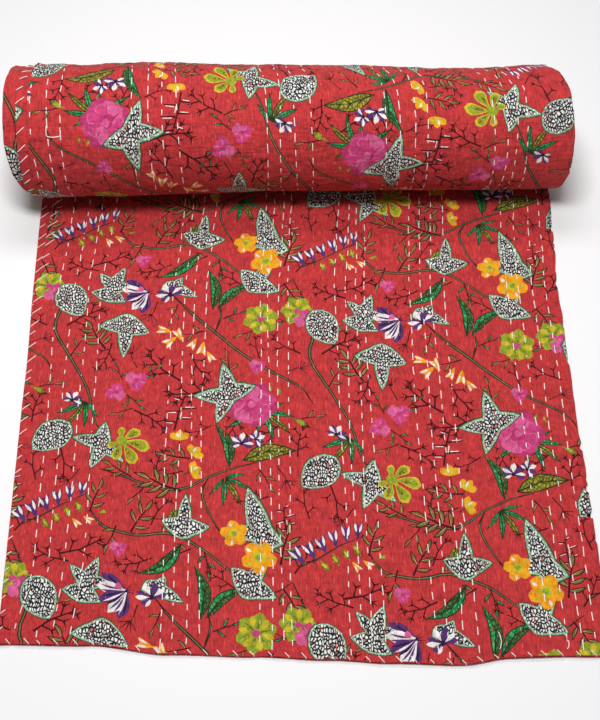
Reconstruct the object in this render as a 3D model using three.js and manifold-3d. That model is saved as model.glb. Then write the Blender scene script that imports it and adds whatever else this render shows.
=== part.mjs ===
// A printed kantha quilt, folded in half along its length, then rolled up from its far end
// towards its near end. The last stretch lies flat in front of the roll, two layers thick.
// Millimetres, +Z up, +X towards the lengthwise fold, +Y from the free end towards the roll.
// The origin is the middle of the quilt's box, on the surface that it lies on.
import * as THREE from 'three';
import Module from 'manifold-3d';

// Cloth: one quilted thickness, and the air between the two folded layers
const LAYER = 2.8;
const LAYER_GAP = 0.8;
const FLAP_HEIGHT = 2 * LAYER + LAYER_GAP;

// Roll: its axis, its outside radius halfway along, and how loosely it is wound
const ROLL_AXIS_Y = 336;
const ROLL_RADIUS = 103.5;
const ROLL_TURNS = 3.85;
const TURN_PITCH = 16;
const TURN_PITCH_GROWTH = 1;
const TURN_PITCH_UNDER = FLAP_HEIGHT;
const ROLL_SINK = 1.6;
const ROLL_LEFT_X = -370;
const ROLL_RIGHT_X = 396;
// It is fuller towards the open edges, with a slight swelling and a dip on the way
const ROLL_FULLNESS = [
  { across: 0.0, scale: 1.035 },
  { across: 0.26, scale: 1.03 },
  { across: 0.5, scale: 1.0 },
  { across: 0.74, scale: 0.968 },
  { across: 1.0, scale: 0.966 },
];
// Shares of a turn: the flat spot that it rests on, and where the outer turn meets the flap
const FLAT_SPOT = 0.025;
const LAST_STEP = 0.994;

// Flap: edges at each station, from the free end to the line under the roll's axis
const FLAP_BACK_Y = ROLL_AXIS_Y + 9;
const FLAP_SIDES = [
  { along: 0.0, lowerLeft: -385, upperLeft: -384, fold: 376 },
  { along: 0.16, lowerLeft: -384, upperLeft: -383, fold: 376 },
  { along: 0.42, lowerLeft: -383, upperLeft: -382, fold: 375.5 },
  { along: 0.56, lowerLeft: -382, upperLeft: -381, fold: 376.5 },
  { along: 0.7, lowerLeft: -383.5, upperLeft: -380, fold: 377.5 },
  { along: 0.83, lowerLeft: -383.5, upperLeft: -371, fold: 382.5 },
  { along: 0.92, lowerLeft: -383.5, upperLeft: -366, fold: 387 },
  { along: 1.0, lowerLeft: -383.5, upperLeft: -364, fold: 388 },
];
// The free end isn't cut quite straight: its distance in front of the origin, across the width
const FREE_END = [
  { across: 0.0, y: -399 },
  { across: 0.17, y: -402 },
  { across: 0.3, y: -418 },
  { across: 0.43, y: -425 },
  { across: 0.56, y: -429.5 },
  { across: 0.75, y: -430.5 },
  { across: 0.85, y: -421 },
  { across: 1.0, y: -423 },
];

// Quilting: groups of four running-stitch rows along the length, drawn into shallow channels
const STITCH_GROUPS = [
  { first: -349, spacing: 21 },
  { first: -183, spacing: 16 },
  { first: -57, spacing: 13 },
  { first: 53, spacing: 14 },
  { first: 159, spacing: 17 },
  { first: 301, spacing: 19 },
];
const ROWS_IN_GROUP = 4;
const CHANNEL_DEPTH = 0.9;
const WIDE_GAP = 30;
const PUCKER_HEIGHT = 0.5;
const PUCKERS_ALONG = 9;
const PUCKERS_ACROSS = 2.5;
// The roll's weight presses the quilting flat, from here to here along the flap
const PRESSED_FROM = 0.86;
const PRESSED_FLAT = 0.94;

// Roll ends: how deep each ring of the end lies under the outside, in turns, and how far
// it stands out past the outer layer's edge. The open edges step out on the left, and the
// folds draw back on the right.
const LEFT_END = [
  { turns: 0.12, out: 0 },
  { turns: 0.32, out: 1 },
  { turns: 0.4, out: -2 },
  { turns: 0.46, out: 11 },
  { turns: 0.58, out: 16 },
  { turns: 0.72, out: 16 },
  { turns: 0.8, out: 12 },
  { turns: 0.88, out: 29 },
  { turns: 1.0, out: 35 },
  { turns: 1.2, out: 35 },
  { turns: 1.45, out: 26 },
  { turns: 1.75, out: 34 },
  { turns: 2.1, out: 33 },
  { turns: 2.4, out: 24 },
  { turns: 2.7, out: 31 },
];
const RIGHT_END = [
  { turns: 0.05, out: -2 },
  { turns: 0.2, out: 0 },
  { turns: 0.38, out: -2 },
  { turns: 0.6, out: -12 },
  { turns: 0.85, out: -12 },
  { turns: 1.15, out: -13 },
  { turns: 1.5, out: -23 },
  { turns: 1.85, out: -20 },
  { turns: 2.2, out: -21 },
  { turns: 2.5, out: -30 },
  { turns: 2.75, out: -26 },
];
const EYE_TURNS = ROLL_TURNS - 1;
const END_WAVE = 4;
const END_WAVES = 2;
const EDGE_SHOULDER = 5;

// Mesh steps
const FLAP_STEPS = 18;
const PLAIN_COLUMNS = 8;
const FOLD_STEPS = [0.2, 0.4, 0.6, 0.8];
const ROLL_STEPS = 26;
const EYE_STEPS = 4;

const FULL_TURN = 2 * Math.PI;
const { lerp, smoothstep } = THREE.MathUtils;

// The value of one column of a table at a place along its first column, eased between rows
function fromTable(rows, key, column, place) {
  const next = rows.findIndex((row) => row[key] >= place);
  if (next === 0) return rows[0][column];
  if (next < 0) return rows[rows.length - 1][column];
  const before = rows[next - 1];
  const after = rows[next];
  return lerp(before[column], after[column], smoothstep(place, before[key], after[key]));
}

// Stitched rows as shares of the width, each with the swelling between it and the next
function quiltColumns() {
  const left = FLAP_SIDES[0].lowerLeft;
  const width = FLAP_SIDES[0].fold - left;
  const rows = STITCH_GROUPS.flatMap(({ first, spacing }) =>
    Array.from({ length: ROWS_IN_GROUP }, (_, n) => first + n * spacing));
  const columns = [];
  rows.forEach((row, n) => {
    columns.push({ across: (row - left) / width, depth: CHANNEL_DEPTH });
    const gap = (rows[n + 1] ?? row) - row;
    const swells = gap > WIDE_GAP ? 3 : 1;
    for (let k = 1; k <= swells && gap > 0; k += 1) {
      columns.push({ across: (row + (gap * k) / (swells + 1) - left) / width, depth: 0 });
    }
  });
  const middle = (a, b) => ({ across: (a + b) / 2, depth: 0 });
  columns.unshift(middle(0, columns[0].across));
  columns.push(middle(columns[columns.length - 1].across, 1));
  return columns;
}
const QUILT_COLUMNS = quiltColumns();

// The wound section, seen along the roll: around runs from where the cloth leaves the surface,
// up the far side, over the top and down to the flap again, and turns is how deep in it lies
function woundPoint(turns, around, scale, depth = 0) {
  const wound = ROLL_RADIUS - (TURN_PITCH + TURN_PITCH_GROWTH * turns) * turns;
  const radius = wound - depth;
  const angle = around * FULL_TURN;
  const height = wound + TURN_PITCH_UNDER * turns - ROLL_SINK - radius * Math.cos(angle);
  return [ROLL_AXIS_Y + scale * radius * Math.sin(angle), Math.max(0, scale * height)];
}

// A closed mesh from a grid of points that joins up both ways round, or only round its rings
class Grid {
  constructor() {
    this.points = [];
    this.faces = [];
  }

  ring(points) {
    const start = this.points.length;
    this.points.push(...points);
    return points.map((_, n) => start + n);
  }

  band(ringA, ringB) {
    ringA.forEach((a, n) => {
      const m = (n + 1) % ringA.length;
      this.faces.push([a, ringA[m], ringB[m]], [a, ringB[m], ringB[n]]);
    });
  }

  // Closes an end between two chains of points, each with its share of the way along
  cap(outer, inner, shares, flipped) {
    let i = 0;
    let j = 0;
    while (i + 1 < outer.length || j + 1 < inner.length) {
      const outside = j + 1 === inner.length || shares.outer[i + 1] <= shares.inner[j + 1];
      const face = outside ? [outer[i], outer[i + 1], inner[j]] : [outer[i], inner[j + 1], inner[j]];
      this.faces.push(flipped ? face.reverse() : face);
      if (outside) i += 1;
      else j += 1;
    }
  }

  solid(wasm) {
    return new wasm.Manifold(new wasm.Mesh({
      numProp: 3,
      vertProperties: new Float32Array(this.points.flat()),
      triVerts: new Uint32Array(this.faces.flat()),
    }));
  }
}

// The flap: one sheet that goes out along the surface, turns back at the fold and returns
// over itself, as a C-shaped section drawn from the free end to the roll. Each point holds
// its share of the way through the lower layer (0 to 1), the fold and the upper layer (2 to 3).
function flapSection(along) {
  const side = (column) => fromTable(FLAP_SIDES, 'along', column, along);
  const lowerLeft = side('lowerLeft');
  const upperLeft = side('upperLeft');
  const bend = FLAP_HEIGHT / 2;
  const fold = side('fold') - bend;
  const even = Array.from({ length: PLAIN_COLUMNS + 1 }, (_, n) => n / PLAIN_COLUMNS);
  const relief = 1 - smoothstep(along, PRESSED_FROM, PRESSED_FLAT);
  const pucker = relief * PUCKER_HEIGHT * Math.sin(along * PUCKERS_ALONG * FULL_TURN);
  const lower = (across, z) => ({ share: across, x: lerp(lowerLeft, fold, across), z });
  const upper = (across, z) => ({ share: 3 - across, x: lerp(upperLeft, fold, across), z });
  const upperTop = ({ across, depth }) =>
    upper(across, FLAP_HEIGHT - relief * depth + pucker * Math.sin(across * PUCKERS_ACROSS * FULL_TURN));
  const turned = (radius, part) => ({
    share: 1 + part,
    x: fold + radius * Math.sin(part * Math.PI),
    z: bend - radius * Math.cos(part * Math.PI),
  });
  const outer = [
    ...even.map((across) => lower(across, 0)),
    ...FOLD_STEPS.map((part) => turned(bend, part)),
    upperTop({ across: 1, depth: 0 }),
    ...QUILT_COLUMNS.toReversed().map(upperTop),
    upperTop({ across: 0, depth: LAYER / 4 }),
  ];
  const inner = [
    ...even.map((across) => lower(across, LAYER)),
    turned(LAYER_GAP / 2, 0.5),
    ...even.toReversed().map((across) => upper(across, LAYER + LAYER_GAP)),
  ];
  return { outer, inner };
}

function flap(wasm) {
  const grid = new Grid();
  const left = FLAP_SIDES[0].lowerLeft;
  const width = FLAP_SIDES[0].fold - left;
  const place = (along) => ({ x, z }) => {
    const across = THREE.MathUtils.clamp((x - left) / width, 0, 1);
    return [x, lerp(fromTable(FREE_END, 'across', 'y', across), FLAP_BACK_Y, along), z];
  };
  const rings = [];
  for (let n = 0; n <= FLAP_STEPS; n += 1) {
    const along = n / FLAP_STEPS;
    const { outer, inner } = flapSection(along);
    rings.push(grid.ring([...outer, ...inner.reverse()].map(place(along))));
    if (n > 0) grid.band(rings[n], rings[n - 1]);
  }
  for (const end of [0, 1]) {
    const { outer, inner } = flapSection(end);
    const ring = rings[end * FLAP_STEPS];
    const share = (point) => point.share;
    const shares = { outer: outer.map(share), inner: inner.map(share) };
    grid.cap(ring.slice(0, outer.length), ring.slice(outer.length).reverse(), shares, end === 1);
  }
  return grid.solid(wasm);
}

// The roll: rings of the wound section set along X, from the eye out over the left end,
// along the outside, in over the right end and back through the eye
function rollRings() {
  const left = LEFT_END.map(({ turns, out }) => ({ turns, x: ROLL_LEFT_X - out, end: 1 }));
  const right = RIGHT_END.map(({ turns, out }) => ({ turns, x: ROLL_RIGHT_X + out, end: 1 }));
  const start = ROLL_LEFT_X + EDGE_SHOULDER;
  const finish = ROLL_RIGHT_X - EDGE_SHOULDER;
  const outside = QUILT_COLUMNS.map(({ across, depth }) => {
    const x = lerp(start, finish, across);
    return { turns: 0, x, depth };
  });
  const eye = Array.from({ length: EYE_STEPS }, (_, n) => ({
    turns: EYE_TURNS,
    x: lerp(right[right.length - 1].x, left[left.length - 1].x, (n + 0.5) / EYE_STEPS),
  }));
  return [...left.reverse(), { turns: 0, x: start }, ...outside, { turns: 0, x: finish }, ...right, ...eye];
}

function roll(wasm) {
  const grid = new Grid();
  const steps = Array.from({ length: ROLL_STEPS + 1 }, (_, n) => lerp(FLAT_SPOT, LAST_STEP, n / ROLL_STEPS));
  const rings = rollRings().map(({ turns, x, depth, end }) => grid.ring([0, ...steps].map((around) => {
    const across = (x - ROLL_LEFT_X) / (ROLL_RIGHT_X - ROLL_LEFT_X);
    const scale = fromTable(ROLL_FULLNESS, 'across', 'scale', Math.max(0, across));
    const aloft = Math.sin(around * Math.PI);
    const wave = end ? END_WAVE * aloft * Math.sin(around * END_WAVES * FULL_TURN + turns) : 0;
    return [x + wave, ...woundPoint(turns + around, around, scale, depth)];
  })));
  rings.forEach((ring, n) => grid.band(ring, rings[(n + 1) % rings.length]));
  return grid.solid(wasm);
}

const wasm = await Module();
wasm.setup();
const { vertProperties, triVerts } = flap(wasm).add(roll(wasm)).getMesh();
const geometry = new THREE.BufferGeometry();
geometry.setAttribute('position', new THREE.BufferAttribute(vertProperties, 3));
geometry.setIndex(new THREE.BufferAttribute(triVerts, 1));
geometry.computeBoundingBox();
const middle = geometry.boundingBox.getCenter(new THREE.Vector3());
geometry.translate(-middle.x, -middle.y, -geometry.boundingBox.min.z);

const printedCotton = new THREE.MeshStandardMaterial({ color: 0xc4343c, roughness: 0.9, metalness: 0 });
const quilt = new THREE.Mesh(geometry, printedCotton);
quilt.name = 'quilt';

const kanthaQuilt = new THREE.Group();
kanthaQuilt.add(quilt);

export default kanthaQuilt;
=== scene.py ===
# %% [markdown]
# # A kantha quilt, folded lengthwise and rolled
#
# A kantha quilt is several layers of soft cotton held together by rows of running stitch.
# This one measures 60 by 90 inches and is printed with a flowering vine. It is folded
# in half along its length, with the plain fold on the right and two whipped edges on the left,
# and then rolled up from its far end. The last stretch lies flat in front of the roll.
#
# The lesson works as the maker does. The cloth is printed flat, then stitched, then folded and
# rolled. One function, `lay`, carries any point of the flat cloth to its place in the room,
# so the print, the stitches and the whipped edges all follow the same folds.

# %% Load the frame
import bpy
import numpy as np
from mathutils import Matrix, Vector
from mathutils.bvhtree import BVHTree
from mathutils.geometry import delaunay_2d_cdt
from mathutils.kdtree import KDTree


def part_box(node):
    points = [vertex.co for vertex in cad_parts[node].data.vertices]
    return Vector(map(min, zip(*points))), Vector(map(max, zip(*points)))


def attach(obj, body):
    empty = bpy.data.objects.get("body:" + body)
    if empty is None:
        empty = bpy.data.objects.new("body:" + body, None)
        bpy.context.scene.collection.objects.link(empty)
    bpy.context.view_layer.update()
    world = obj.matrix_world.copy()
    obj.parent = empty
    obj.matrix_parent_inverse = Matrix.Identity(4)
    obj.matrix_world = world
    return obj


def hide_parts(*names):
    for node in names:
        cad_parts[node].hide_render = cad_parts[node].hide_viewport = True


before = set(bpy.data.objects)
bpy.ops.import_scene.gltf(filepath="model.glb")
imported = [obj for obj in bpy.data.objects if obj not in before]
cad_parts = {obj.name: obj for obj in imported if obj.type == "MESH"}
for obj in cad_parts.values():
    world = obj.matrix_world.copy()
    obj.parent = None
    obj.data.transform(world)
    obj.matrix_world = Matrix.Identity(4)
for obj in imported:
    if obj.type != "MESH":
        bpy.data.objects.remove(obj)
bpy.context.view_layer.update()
low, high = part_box("quilt")
print("quilt solid, from", [round(v, 4) for v in low], "to", [round(v, 4) for v in high])

# %% [markdown]
# ## The flat cloth
#
# Sizes are in millimetres until the very end, because that is how cloth is cut and stitched.
# A place on the flat cloth is one complex number: the real part is the distance across from
# the lengthwise fold, the imaginary part the distance along from the near end. Turning a motif
# is then a single multiplication.

# %% Cloth sizes
MM = 0.001
CLOTH_WIDTH = 1524.0
CLOTH_LENGTH = 2286.0
HALF = CLOTH_WIDTH / 2
THICKNESS = 2.8
print("folded width", HALF, "mm, length", CLOTH_LENGTH, "mm")

# %% [markdown]
# ## Drawing tools for the print
#
# A block or screen print is made of closed patches of ink laid over each other. They could be drawn
# as curve objects, but each overlap would then need a boolean. Here a patch is only a closed outline,
# a row of points, and one triangulation settles all the overlaps later. A few small tools are enough:
# sharp corners joined by bowed edges, wavy rounds, leaf blades, and ribbons along a path.

# %% Outlines
def heading(turn):
    """A turn in degrees as a complex number of length one."""
    return np.exp(1j * np.radians(turn))


def bowed(corners, bow, steps):
    """Sharp corners joined by edges that bow outwards."""
    corners = np.asarray(corners, complex)
    t = np.arange(steps) / steps
    edges = []
    for start, end in zip(corners, np.roll(corners, -1)):
        middle = (start + end) / 2 - 1j * bow * (end - start)
        edges.append((1 - t) ** 2 * start + 2 * t * (1 - t) * middle + t ** 2 * end)
    return np.concatenate(edges)


def wavy(radius, waves, depth, turn, steps):
    """A round with a waved rim."""
    angle = np.arange(steps) / steps * 2 * np.pi
    return radius * (1 + depth * np.cos(waves * angle + turn)) * np.exp(1j * angle)


def blade(width, bend=0.0, fullest=0.45, steps=7, blunt=0.0):
    """A leaf or petal from 0 to 1, widest at the share given by fullest."""
    t = np.linspace(0, 1, steps)
    half = width / 2 * abs(np.sin(np.pi * t ** (np.log(0.5) / np.log(fullest)))) ** (1 - blunt)
    spine = t + 1j * bend * np.sin(np.pi * t)
    return np.concatenate([spine - 1j * half, (spine + 1j * half)[-2:0:-1]])


def ribbon(path, *widths):
    """A line of ink along a path, with widths spread evenly from its start to its end."""
    path = np.asarray(path, complex)
    ahead = np.gradient(path)
    side = 1j * ahead / abs(ahead)
    half = np.interp(np.linspace(0, 1, len(path)), np.linspace(0, 1, len(widths)), widths) / 2
    return np.concatenate([path - side * half, (path + side * half)[::-1]])


print("a leaf blade has", len(blade(0.3)), "points")

# %% [markdown]
# ## From outlines to motifs
#
# A printed leaf has a rim of even width. It could be had by scaling the outline, but a scaled outline
# leaves a rim that is thick at the tips and thin at the sides, so `inset` moves each point in by the
# same gap. `placed` and `fan` set drawn shapes down. Every motif goes on one list, under the name that
# the chart of the repeat knows it by. It is one unit long, from its foot at 0 to its tip at 1.

# %% Motif tools
# how far a sharp tip may move in, in gaps
LONGEST_MITRE = 3.3
MOTIFS = {}


def inset(outline, gap):
    """The same outline drawn inside itself, an even gap in."""
    ahead = np.roll(outline, -1) - outline
    ahead = ahead / abs(ahead)
    turn = ahead + np.roll(ahead, 1)
    reach = np.minimum(2 / abs(turn), LONGEST_MITRE)
    return outline + gap * reach * 1j * turn / abs(turn)


def shrunk(outline, share):
    """The same outline drawn smaller about its middle."""
    return outline.mean() + share * (outline - outline.mean())


def placed(shapes, foot, size, turn):
    """Shapes of one unit, set down at a foot with a size and a turn in degrees."""
    spin = size * heading(turn)
    return [(ink, foot + spin * outline) for ink, outline in shapes]


def fan(ink, foot, outline, turns):
    """One outline set down at a foot several times over, each with a turn in degrees."""
    return [(ink, foot + heading(turn) * outline) for turn in turns]


def add_motifs(**drawn):
    """Puts motifs on the list. A motif is a row of patches, each an ink and an outline."""
    MOTIFS.update(drawn)
    print("patches of ink:", ", ".join(f"{name} {len(shapes)}" for name, shapes in drawn.items()))

# %% [markdown]
# ## White leaves and pods
#
# The white leaves and pods carry a black crackle inside a mint rim, which is green on its shaded side
# and has a thin bottle-green outline. The crackle could be drawn too, but it has thousands of cells,
# so it is left to the material. The outlines are given by a few corners each.

# %% White leaves and pods
# gaps from the outline in to the green, the mint and the crackle, and the shift away from the shaded side
GREEN_GAP, MINT_GAP, CRACKLE_GAP = 0.01, 0.018, 0.05
SHADED_SIDE = 0.004 + 0.007j
IVY = [0, 0.1 - 0.22j, 0.3 - 0.52j, 0.46 - 0.15j, 1, 0.5 + 0.15j, 0.42 + 0.46j, 0.1 + 0.2j]
STAR = [0, 0.28 - 0.15j, 0.4 - 0.56j, 0.58 - 0.14j, 1 - 0.1j, 0.7 + 0.13j, 0.78 + 0.48j, 0.4 + 0.17j]
MAPLE = [0, 0.14 - 0.42j, 0.34 - 0.2j, 0.62 - 0.5j, 0.62 - 0.15j, 1, 0.64 + 0.16j, 0.66 + 0.48j,
         0.36 + 0.2j, 0.14 + 0.42j]
SPEAR = [0, 0.04 - 0.28j, 0.3 - 0.19j, 1, 0.44 + 0.16j, 0.3 + 0.34j, 0.16 + 0.14j]
POD = [0, 0.14 - 0.24j, 0.46 - 0.36j, 0.78 - 0.24j, 1, 0.72 + 0.28j, 0.4 + 0.38j, 0.1 + 0.24j]


def crackle_leaf(corners, bow, steps=4):
    rim = bowed(corners, bow, steps)
    lit = inset(rim, MINT_GAP) + SHADED_SIDE
    middle = inset(rim, CRACKLE_GAP) + SHADED_SIDE
    return [("bottle", rim), ("fresh", inset(rim, GREEN_GAP)), ("mint", lit), ("crackle", middle)]


add_motifs(
    ivy=crackle_leaf(IVY, 0.12),
    star=crackle_leaf(STAR, 0.1, 3),
    maple=crackle_leaf(MAPLE, 0.1, 3),
    spear=crackle_leaf(SPEAR, 0.12),
    pod=crackle_leaf(POD, 0.16, 2),
)

# %% [markdown]
# ## Green leaves and sprigs
#
# The green leaves have a rib, veins and an olive half. Their dark feathery strokes are finer than a
# mesh should be, so the material has them, like the crackle. Palm leaves and sprigs are put together
# from one small blade, because the real ones repeat one small leaf as well.

# %% Green leaves
# gap from the outline to the fill, where a leaf is fullest, the olive half, and the feet of the veins
LEAF_GAP = 0.022
LEAF_FULLEST = 0.42
OLIVE_WIDTH, OLIVE_SHIFT = 0.42, 0.2
VEINS_AT = (0.25, 0.45, 0.65)
# gap of a palm leaf, and turn and length of each finger
PALM_GAP = 0.025
PALM_FINGERS = ((-68, 0.66), (-32, 0.84), (0, 0.92), (34, 0.8), (70, 0.62))


def veined_leaf(fill, bend=0.13, width=0.24):
    rim = blade(width, bend, LEAF_FULLEST)
    shapes = [("bottle", rim), (fill, inset(rim, LEAF_GAP))]
    if fill == "leaf":
        shapes.append(("shade", blade(OLIVE_WIDTH * width, bend - OLIVE_SHIFT * width, LEAF_FULLEST)))
    shapes.append(("bottle", ribbon([0, 0.5 + 1j * bend, 1], 0.03, 0.012)))
    for at in VEINS_AT:
        root = at + 1j * bend * np.sin(np.pi * at)
        for side in (1, -1):
            shapes.append(("bottle", root + np.array([0, 0.045, 0.16 + 0.34j * width * side])))
    return shapes


def palm_leaf():
    leaf = blade(0.2, 0.03, steps=5)
    rib = ribbon([0.05, 0.5 + 0.03j, 0.95], 0.03, 0.02)
    shapes = []
    for turn, long in PALM_FINGERS:
        fill = "moss" if turn == 0 else "leaf"
        parts = [("bottle", leaf), (fill, inset(leaf, PALM_GAP)), ("bottle", rib)]
        shapes += placed(parts, 0.06, long, turn)
    return shapes


add_motifs(
    leaf=veined_leaf("leaf"),
    back_leaf=veined_leaf("leaf", -0.13),
    moss_leaf=veined_leaf("moss", 0.08, 0.32),
    palm=palm_leaf(),
)

# %% Sprigs
# gap from the outline to the fill, length of a leaf, and how the leaves close up to the tip, in degrees
SPRIG_GAP = 0.058
SPRIG_LEAF = 0.44
SPRIG_CLOSING = 40
TIP_TURN = 4


def sprig(leaves, fill="olive", spread=62):
    rib = ("tan" if fill == "olive" else "soot", np.array([0.1 - 0.025j, 0.85, 0.1 + 0.025j]))
    shapes = [("soot", ribbon([0, 0.4 + 0.03j, 0.8], 0.055, 0.03))]
    for n in range(leaves):
        at = 0.16 + 0.56 * n / (leaves - 1)
        side = 1 if n % 2 else -1
        turn = side * (spread - SPRIG_CLOSING * at) if n < leaves - 1 else TIP_TURN
        leaf = blade(0.3, 0.06 * side, steps=5)
        parts = [("soot", leaf), (fill, inset(leaf, SPRIG_GAP)), rib]
        shapes += placed(parts, at + 0.02j, SPRIG_LEAF, turn)
    return shapes


add_motifs(
    sprout=sprig(3),
    sprig=sprig(5),
    fern=sprig(7, "olive", 70),
    green_sprig=sprig(3, "leaf"),
)

# %% [markdown]
# ## Flowers
#
# The flowers are generic garden ones in the colours of the real print: pink peonies, orange
# marigolds and buttercups, lime blossoms with spoon petals, violet magnolias and pansies, and
# combs of small violet trumpets. They could be traced from a picture, but petals worked out from a few
# numbers are easy to change, and need no picture. So they are drawn here from petals, each flower by a
# function of its own.

# %% Pink flowers
# steps round a flower of three, five and six petals, in radians
THIRD, FIFTH, SIXTH = 2.1, 1.257, 1.047


def peony():
    shapes = [("magenta", 0.5 + wavy(0.5, 5, 0.1, 0.6, 20))]
    for n, ink in enumerate(("rose", "blush", "rose", "blush", "rose")):
        middle = 0.5 + 0.25 * np.exp(1j * (FIFTH * n + 0.4))
        shapes.append((ink, middle + wavy(0.24, 3, 0.12, n, 11)))
    shapes.append(("magenta", 0.46 - 0.04j + wavy(0.15, 3, 0.2, 1.1, 9)))
    shapes.append(("blush", 0.49 + wavy(0.085, 3, 0.2, 0.2, 7)))
    line = np.array([0.2 - 0.02j, 0.2 + 0.02j, 0.43 + 0.06j])
    curl = ribbon([0.2 + 0.1j, 0.3 + 0.15j, 0.36 + 0.09j, 0.4 - 0.02j], 0.024, 0.014)
    for n in range(7):
        way = np.exp(0.9j * n)
        shapes.append(("magenta", 0.5 + way * line))
        shapes.append(("petal", 0.5 + way * np.exp(0.4j) * curl))
    return shapes


def posy():
    shapes = []
    for n, ink in enumerate(("rose", "blush", "rose")):
        shapes.append((ink, 0.5 + 0.24 * np.exp(1j * THIRD * n) + wavy(0.3, 4, 0.16, n, 10)))
    curl = np.array([0.12, 0.26 - 0.07j, 0.44 + 0.03j, 0.27 + 0.02j])
    shapes += [("petal", 0.5 + np.exp(1j * (1.26 * n + 0.5)) * curl) for n in range(5)]
    return shapes + [("magenta", 0.52 + wavy(0.11, 3, 0.3, 0.4, 7))]


add_motifs(peony=peony(), posy=posy())

# %% Yellow flowers
# turn in degrees and length of the spoon petals
SPOONS = ((-128, 0.36), (-78, 0.52), (-30, 0.66), (20, 0.68), (68, 0.54), (120, 0.38))
BUD = blade(0.4, 0.05, 0.7, 6)


def marigold():
    petal = bowed([0.05, 0.3 - 0.22j, 0.5 - 0.14j, 0.53 + 0.1j, 0.3 + 0.24j], 0.14, 3)
    fleck = 0.28 + 0.2 * blade(0.5, 0.1, steps=5)
    shapes = [("marigold", 0.5 + np.exp(1j * (FIFTH * n + 0.3)) * petal) for n in range(5)]
    for n in range(5):
        ink = "chalk" if n % 2 else "yellow"
        shapes.append((ink, 0.5 + np.exp(1j * (FIFTH * n + 0.5)) * fleck))
    shapes.append(("yellow", 0.5 + wavy(0.2, 5, 0.16, 0.0, 11)))
    return shapes + [("lime", 0.5 + wavy(0.11, 4, 0.2, 0.5, 7))]


def buttercup():
    outer, inner = blade(0.62, 0, 0.62, 6, 0.2), blade(0.4, 0, 0.66, 6, 0.2)
    shapes = [("bottle", ribbon([0, 0.35], 0.06, 0.04))]
    for turn in (-62, -12, 38):
        shapes.append(("marigold", 0.34 + heading(turn) * 0.62 * outer))
        shapes.append(("yellow", 0.36 + heading(turn) * 0.48 * inner))
    return shapes + [("chalk", 0.5 + 0.3 * blade(0.4, 0.1, 0.6, 5))]


def spoon_flower():
    petal = blade(0.46, 0.04, 0.74, 9, 0.4)
    shapes = []
    for turn, long in SPOONS:
        shapes += placed([("yellow", petal), ("lime", shrunk(petal, 0.76))], 0.34, long, turn)
    shapes += fan("moss", 0.34, 0.2 + 0.26 * blade(0.34, steps=5), (-78, -30, 20, 68))
    return shapes + [("lime", 0.34 + wavy(0.14, 5, 0.12, 0, 9))]


def rosette():
    shapes = [("lime", 0.5 + wavy(0.46, 6, 0.14, 0.3, 24))]
    petal = 0.14 + 0.3 * blade(0.55, 0, 0.6, 5)
    vein = np.array([0.1 - 0.03j, 0.1 + 0.03j, 0.42])
    for n in range(6):
        way = np.exp(1j * (SIXTH * n + 0.45))
        shapes.append(("yellow", 0.5 + way * petal))
        shapes.append(("moss", 0.5 + way * np.exp(0.5j) * vein))
    return shapes + [("rose", 0.5 + wavy(0.1, 3, 0.2, 0, 7))]


add_motifs(
    marigold=marigold(),
    buttercup=buttercup(),
    spoon_flower=spoon_flower(),
    rosette=rosette(),
    bud=[("moss", BUD), ("lime", shrunk(BUD, 0.7))],
)

# %% Trumpets
def trumpet(fill):
    cup = bowed([0, 0.4 - 0.18j, 0.95 - 0.32j, 0.8, 1 + 0.29j, 0.42 + 0.17j], 0.05, 2)
    return [(fill, cup)] + fan("chalk", 0, 0.4 + 0.58 * blade(0.25, steps=5), (-13, 12))


def trumpet_comb():
    stalk = np.array([0, 0.3 + 0.08j, 0.62 + 0.2j, 0.95 + 0.28j])
    shapes = [("bottle", ribbon(stalk, 0.022, 0.014))]
    for n in range(6):
        at = 0.08 + 0.16 * n
        foot = at + 1j * np.interp(at, stalk.real, stalk.imag)
        shapes += placed(trumpet("violet"), foot, 0.3 - 0.012 * n, 118 - 9 * n)
    bud = [("moss", blade(0.46, 0, 0.5, 6)), ("yellow", 0.18 + 0.6 * blade(0.34, 0, 0.5, 4))]
    for n in range(4):
        at = 0.3 + 0.17 * n
        foot = at + 1j * (np.interp(at, stalk.real, stalk.imag) - 0.04)
        shapes += placed(bud, foot, 0.2, -66 - 4 * n)
    for n in range(2):
        shapes += placed(trumpet("marigold"), 0.72 + 0.15 * n - 0.05j, 0.17, -62 + 18 * n)
    return shapes


add_motifs(small_trumpet=trumpet("marigold"), trumpet_comb=trumpet_comb())

# %% Violet flowers
# turn and ink of a magnolia's petals, and of the streaks in them
MAGNOLIA_PETALS = ((-58, "violet"), (48, "violet"), (-34, "chalk"), (26, "chalk"), (-4, "violet"))
MAGNOLIA_STREAKS = ((-64, "plum"), (-50, "chalk"), (-38, "violet"), (-25, "violet"), (-11, "plum"),
                    (2, "chalk"), (12, "plum"), (25, "violet"), (36, "violet"), (46, "chalk"), (56, "plum"))
# turn, ink, length and width of a pansy's petals
PANSY_PETALS = ((-105, "violet", 0.5, 0.54), (100, "violet", 0.46, 0.48), (-48, "violet", 0.56, 0.43),
                (46, "violet", 0.54, 0.37), (-84, "chalk", 0.54, 0.3), (0, "chalk", 0.54, 0.5),
                (66, "chalk", 0.56, 0.34), (122, "chalk", 0.42, 0.3))


def magnolia():
    shapes = []
    for turn, ink in MAGNOLIA_PETALS:
        shapes += placed([(ink, blade(0.42, 0.03, 0.6, 7))], 0.12, 0.84, turn)
    for turn, ink in MAGNOLIA_STREAKS:
        shapes += fan(ink, 0.14, 0.1 + 0.62 * blade(0.1, 0.05, 0.6, 5), [turn])
    shapes.append(("blush", 0.3 - 0.2j + wavy(0.1, 3, 0.2, 0, 7)))
    return shapes + fan("plum", 0.2, np.array([0.02j, -0.02j, 0.3]), (150, 178, 205))


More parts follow.
